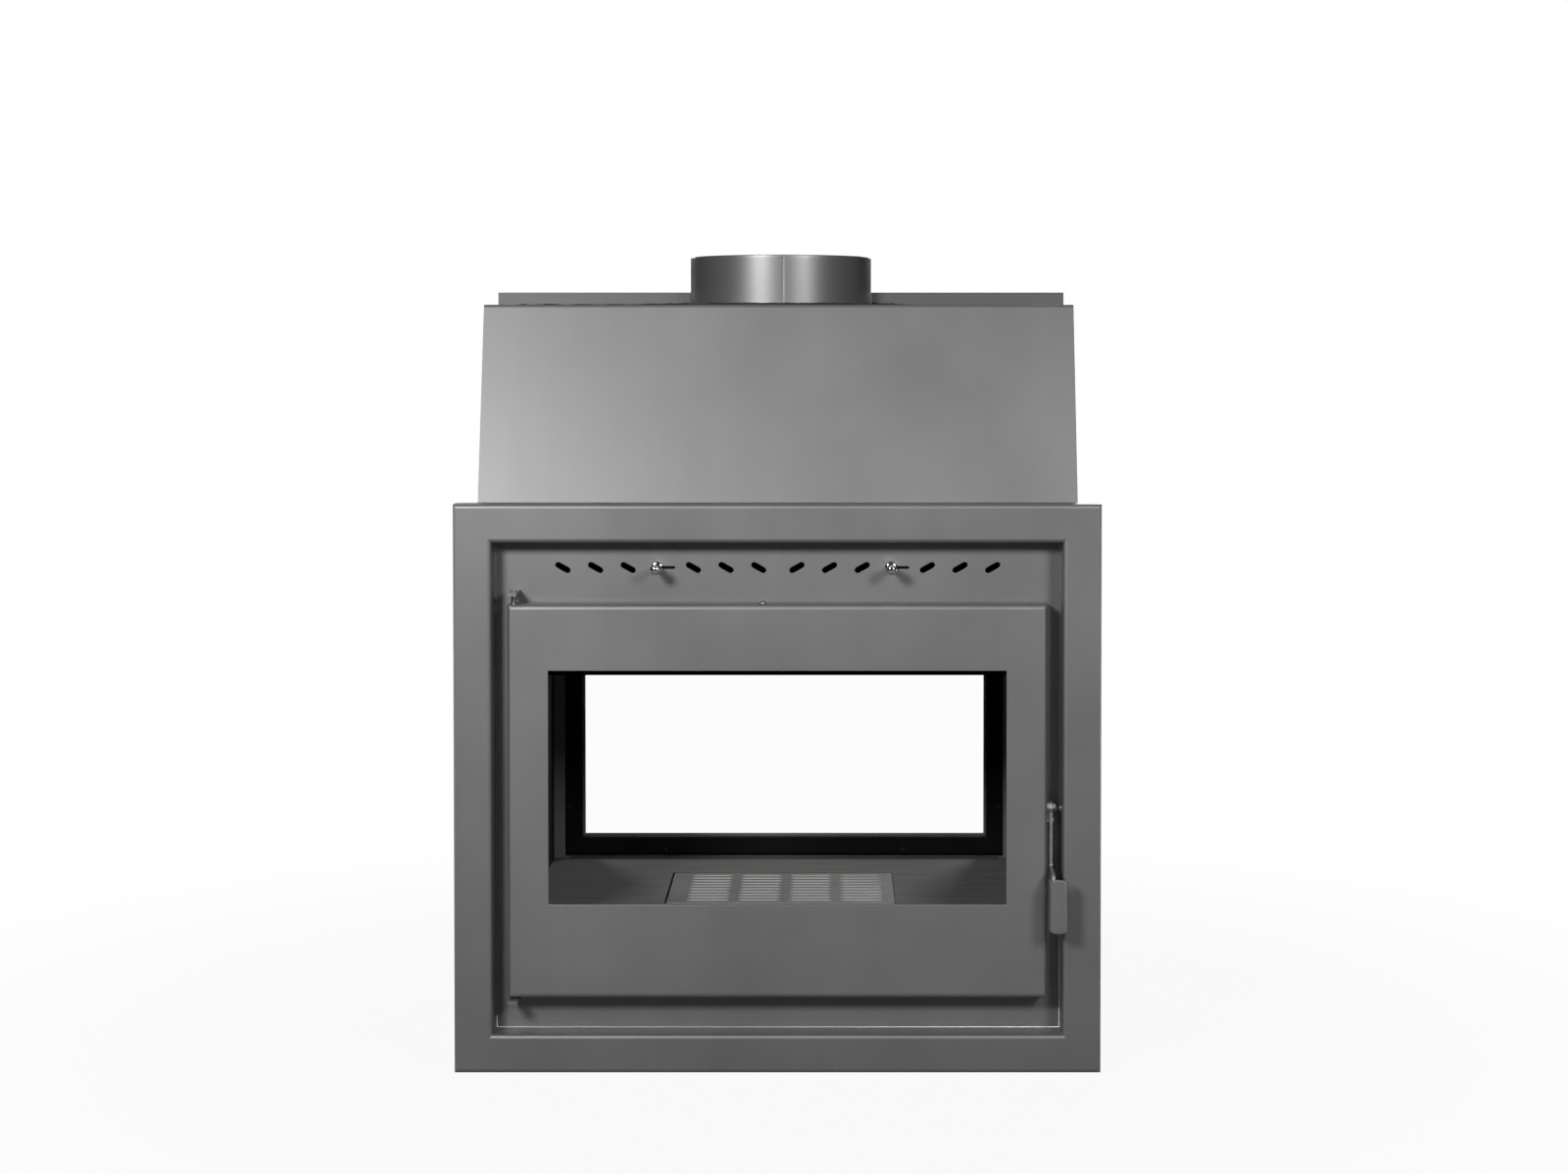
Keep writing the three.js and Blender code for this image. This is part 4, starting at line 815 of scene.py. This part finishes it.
# Studio: a pale floor with the object's shadow, a soft key lamp on the left of each face and a weaker
# one on its right, both above the object, a dim one for each side, and a plain world, white behind.
def pale_floor():
    """A matt white studio floor, shown whiter than it is lit, more so further from the object."""
    drift_mm, near, far = 400, 0.75, 1.6
    made, tree = material("pale_floor")
    place = add(tree, "TexCoord", {}, {}).outputs["Object"]
    drift = add(tree, "TexNoise", {}, {"Vector": place, "Scale": per_metre(drift_mm), "Detail": 1})
    tone = add(tree, "Mix", {"data_type": "RGBA"},
               {0: drift.outputs[0], 6: linear("#7c7c7c"), 7: linear("#828282")})
    matt = add(tree, "BsdfDiffuse", {}, {"Color": tone.outputs[2]})
    glow = add(tree, "Emission", {}, {"Color": (1, 1, 1, 1), "Strength": 1.0})
    ray = add(tree, "LightPath", {}, {})
    seen = add(tree, "Math", {"operation": "MAXIMUM"},
               {0: ray.outputs["Is Camera Ray"], 1: ray.outputs["Is Transmission Ray"]})
    off = add(tree, "VectorMath", {"operation": "LENGTH"}, {0: place})
    plain = add(tree, "MapRange", {},
                {"Value": off.outputs["Value"], "From Min": near, "From Max": far,
                 "To Min": 0.94, "To Max": 1.0})
    share = add(tree, "Math", {"operation": "MULTIPLY"}, {0: seen.outputs[0], 1: plain.outputs[0]})
    mixed = add(tree, "MixShader", {}, {0: share.outputs[0], 1: matt.outputs[0], 2: glow.outputs[0]})
    add(tree, "OutputMaterial", {}, {"Surface": mixed.outputs[0]})
    return made


def studio_floor():
    """A large flat floor just under the object."""
    half, drop = 30.0, 0.0005
    corners = [(-half, -half, 0), (half, -half, 0), (half, half, 0), (-half, half, 0)]
    mesh = bpy.data.meshes.new("studio_floor")
    mesh.from_pydata(corners, [], [(0, 1, 2, 3)])
    mesh.materials.append(pale_floor())
    made = bpy.data.objects.new("studio_floor", mesh)
    bpy.context.scene.collection.objects.link(made)
    made.location.z = -drop


def studio_world():
    """White behind the object, a pale ceiling for metal and glass to mirror, and a dim even light."""
    world = bpy.data.worlds.new("studio")
    world.use_nodes = True
    tree = world.node_tree
    tree.nodes.clear()
    ray = add(tree, "LightPath", {}, {})
    towards = add(tree, "SeparateXYZ", {}, {"Vector": add(tree, "TexCoord", {}, {}).outputs["Generated"]})
    above = add(tree, "MapRange", {},
                {"Value": towards.outputs["Z"], "From Min": 0.45, "From Max": 0.95,
                 "To Min": 0, "To Max": 0.45})
    shine = add(tree, "Math", {"operation": "MULTIPLY"},
                {0: ray.outputs["Is Glossy Ray"], 1: above.outputs[0]})
    seen = add(tree, "Math", {"operation": "MAXIMUM"},
               {0: ray.outputs["Is Camera Ray"], 1: ray.outputs["Is Transmission Ray"]})
    white = add(tree, "Math", {"operation": "MAXIMUM"}, {0: seen.outputs[0], 1: shine.outputs[0]})
    level = add(tree, "MapRange", {},
                {"Value": white.outputs[0], "From Min": 0, "From Max": 1, "To Min": 0.01, "To Max": 1.0})
    back = add(tree, "Background", {}, {"Color": (1, 1, 1, 1), "Strength": level.outputs[0]})
    add(tree, "OutputWorld", {}, {"Surface": back.outputs[0]})
    bpy.context.scene.world = world


def lamp(name, place, aim, width, height, watts):
    """A rectangular soft lamp that points at a place."""
    light = bpy.data.lights.new(name, "AREA")
    light.shape = "RECTANGLE"
    light.size = width
    light.size_y = height
    light.energy = watts
    made = bpy.data.objects.new(name, light)
    bpy.context.scene.collection.objects.link(made)
    made.location = place
    made.visible_camera = False
    made.rotation_mode = "QUATERNION"
    made.rotation_quaternion = (Vector(aim) - Vector(place)).to_track_quat("-Z", "Y")


studio_floor()
studio_world()
lamp("key_lamp", (-1.32, -2.90, 1.80), (0, -0.275, 0.60), 0.70, 0.60, 75)
lamp("fill_lamp", (1.62, -2.90, 1.72), (0, -0.275, 0.60), 0.70, 0.60, 44)
lamp("rear_key_lamp", (1.16, 2.98, 1.90), (0, 0.275, 0.60), 0.80, 0.70, 52)
lamp("rear_fill_lamp", (-1.49, 2.98, 1.90), (0, 0.275, 0.60), 0.70, 0.60, 36)
lamp("right_side_lamp", (3.0, 0, 0.25), (0.392, 0, 0.45), 0.80, 0.30, 15)
lamp("left_side_lamp", (-3.0, 0, 0.25), (-0.392, 0, 0.45), 0.80, 0.30, 15)
bpy.context.scene.view_settings.view_transform = "Standard"
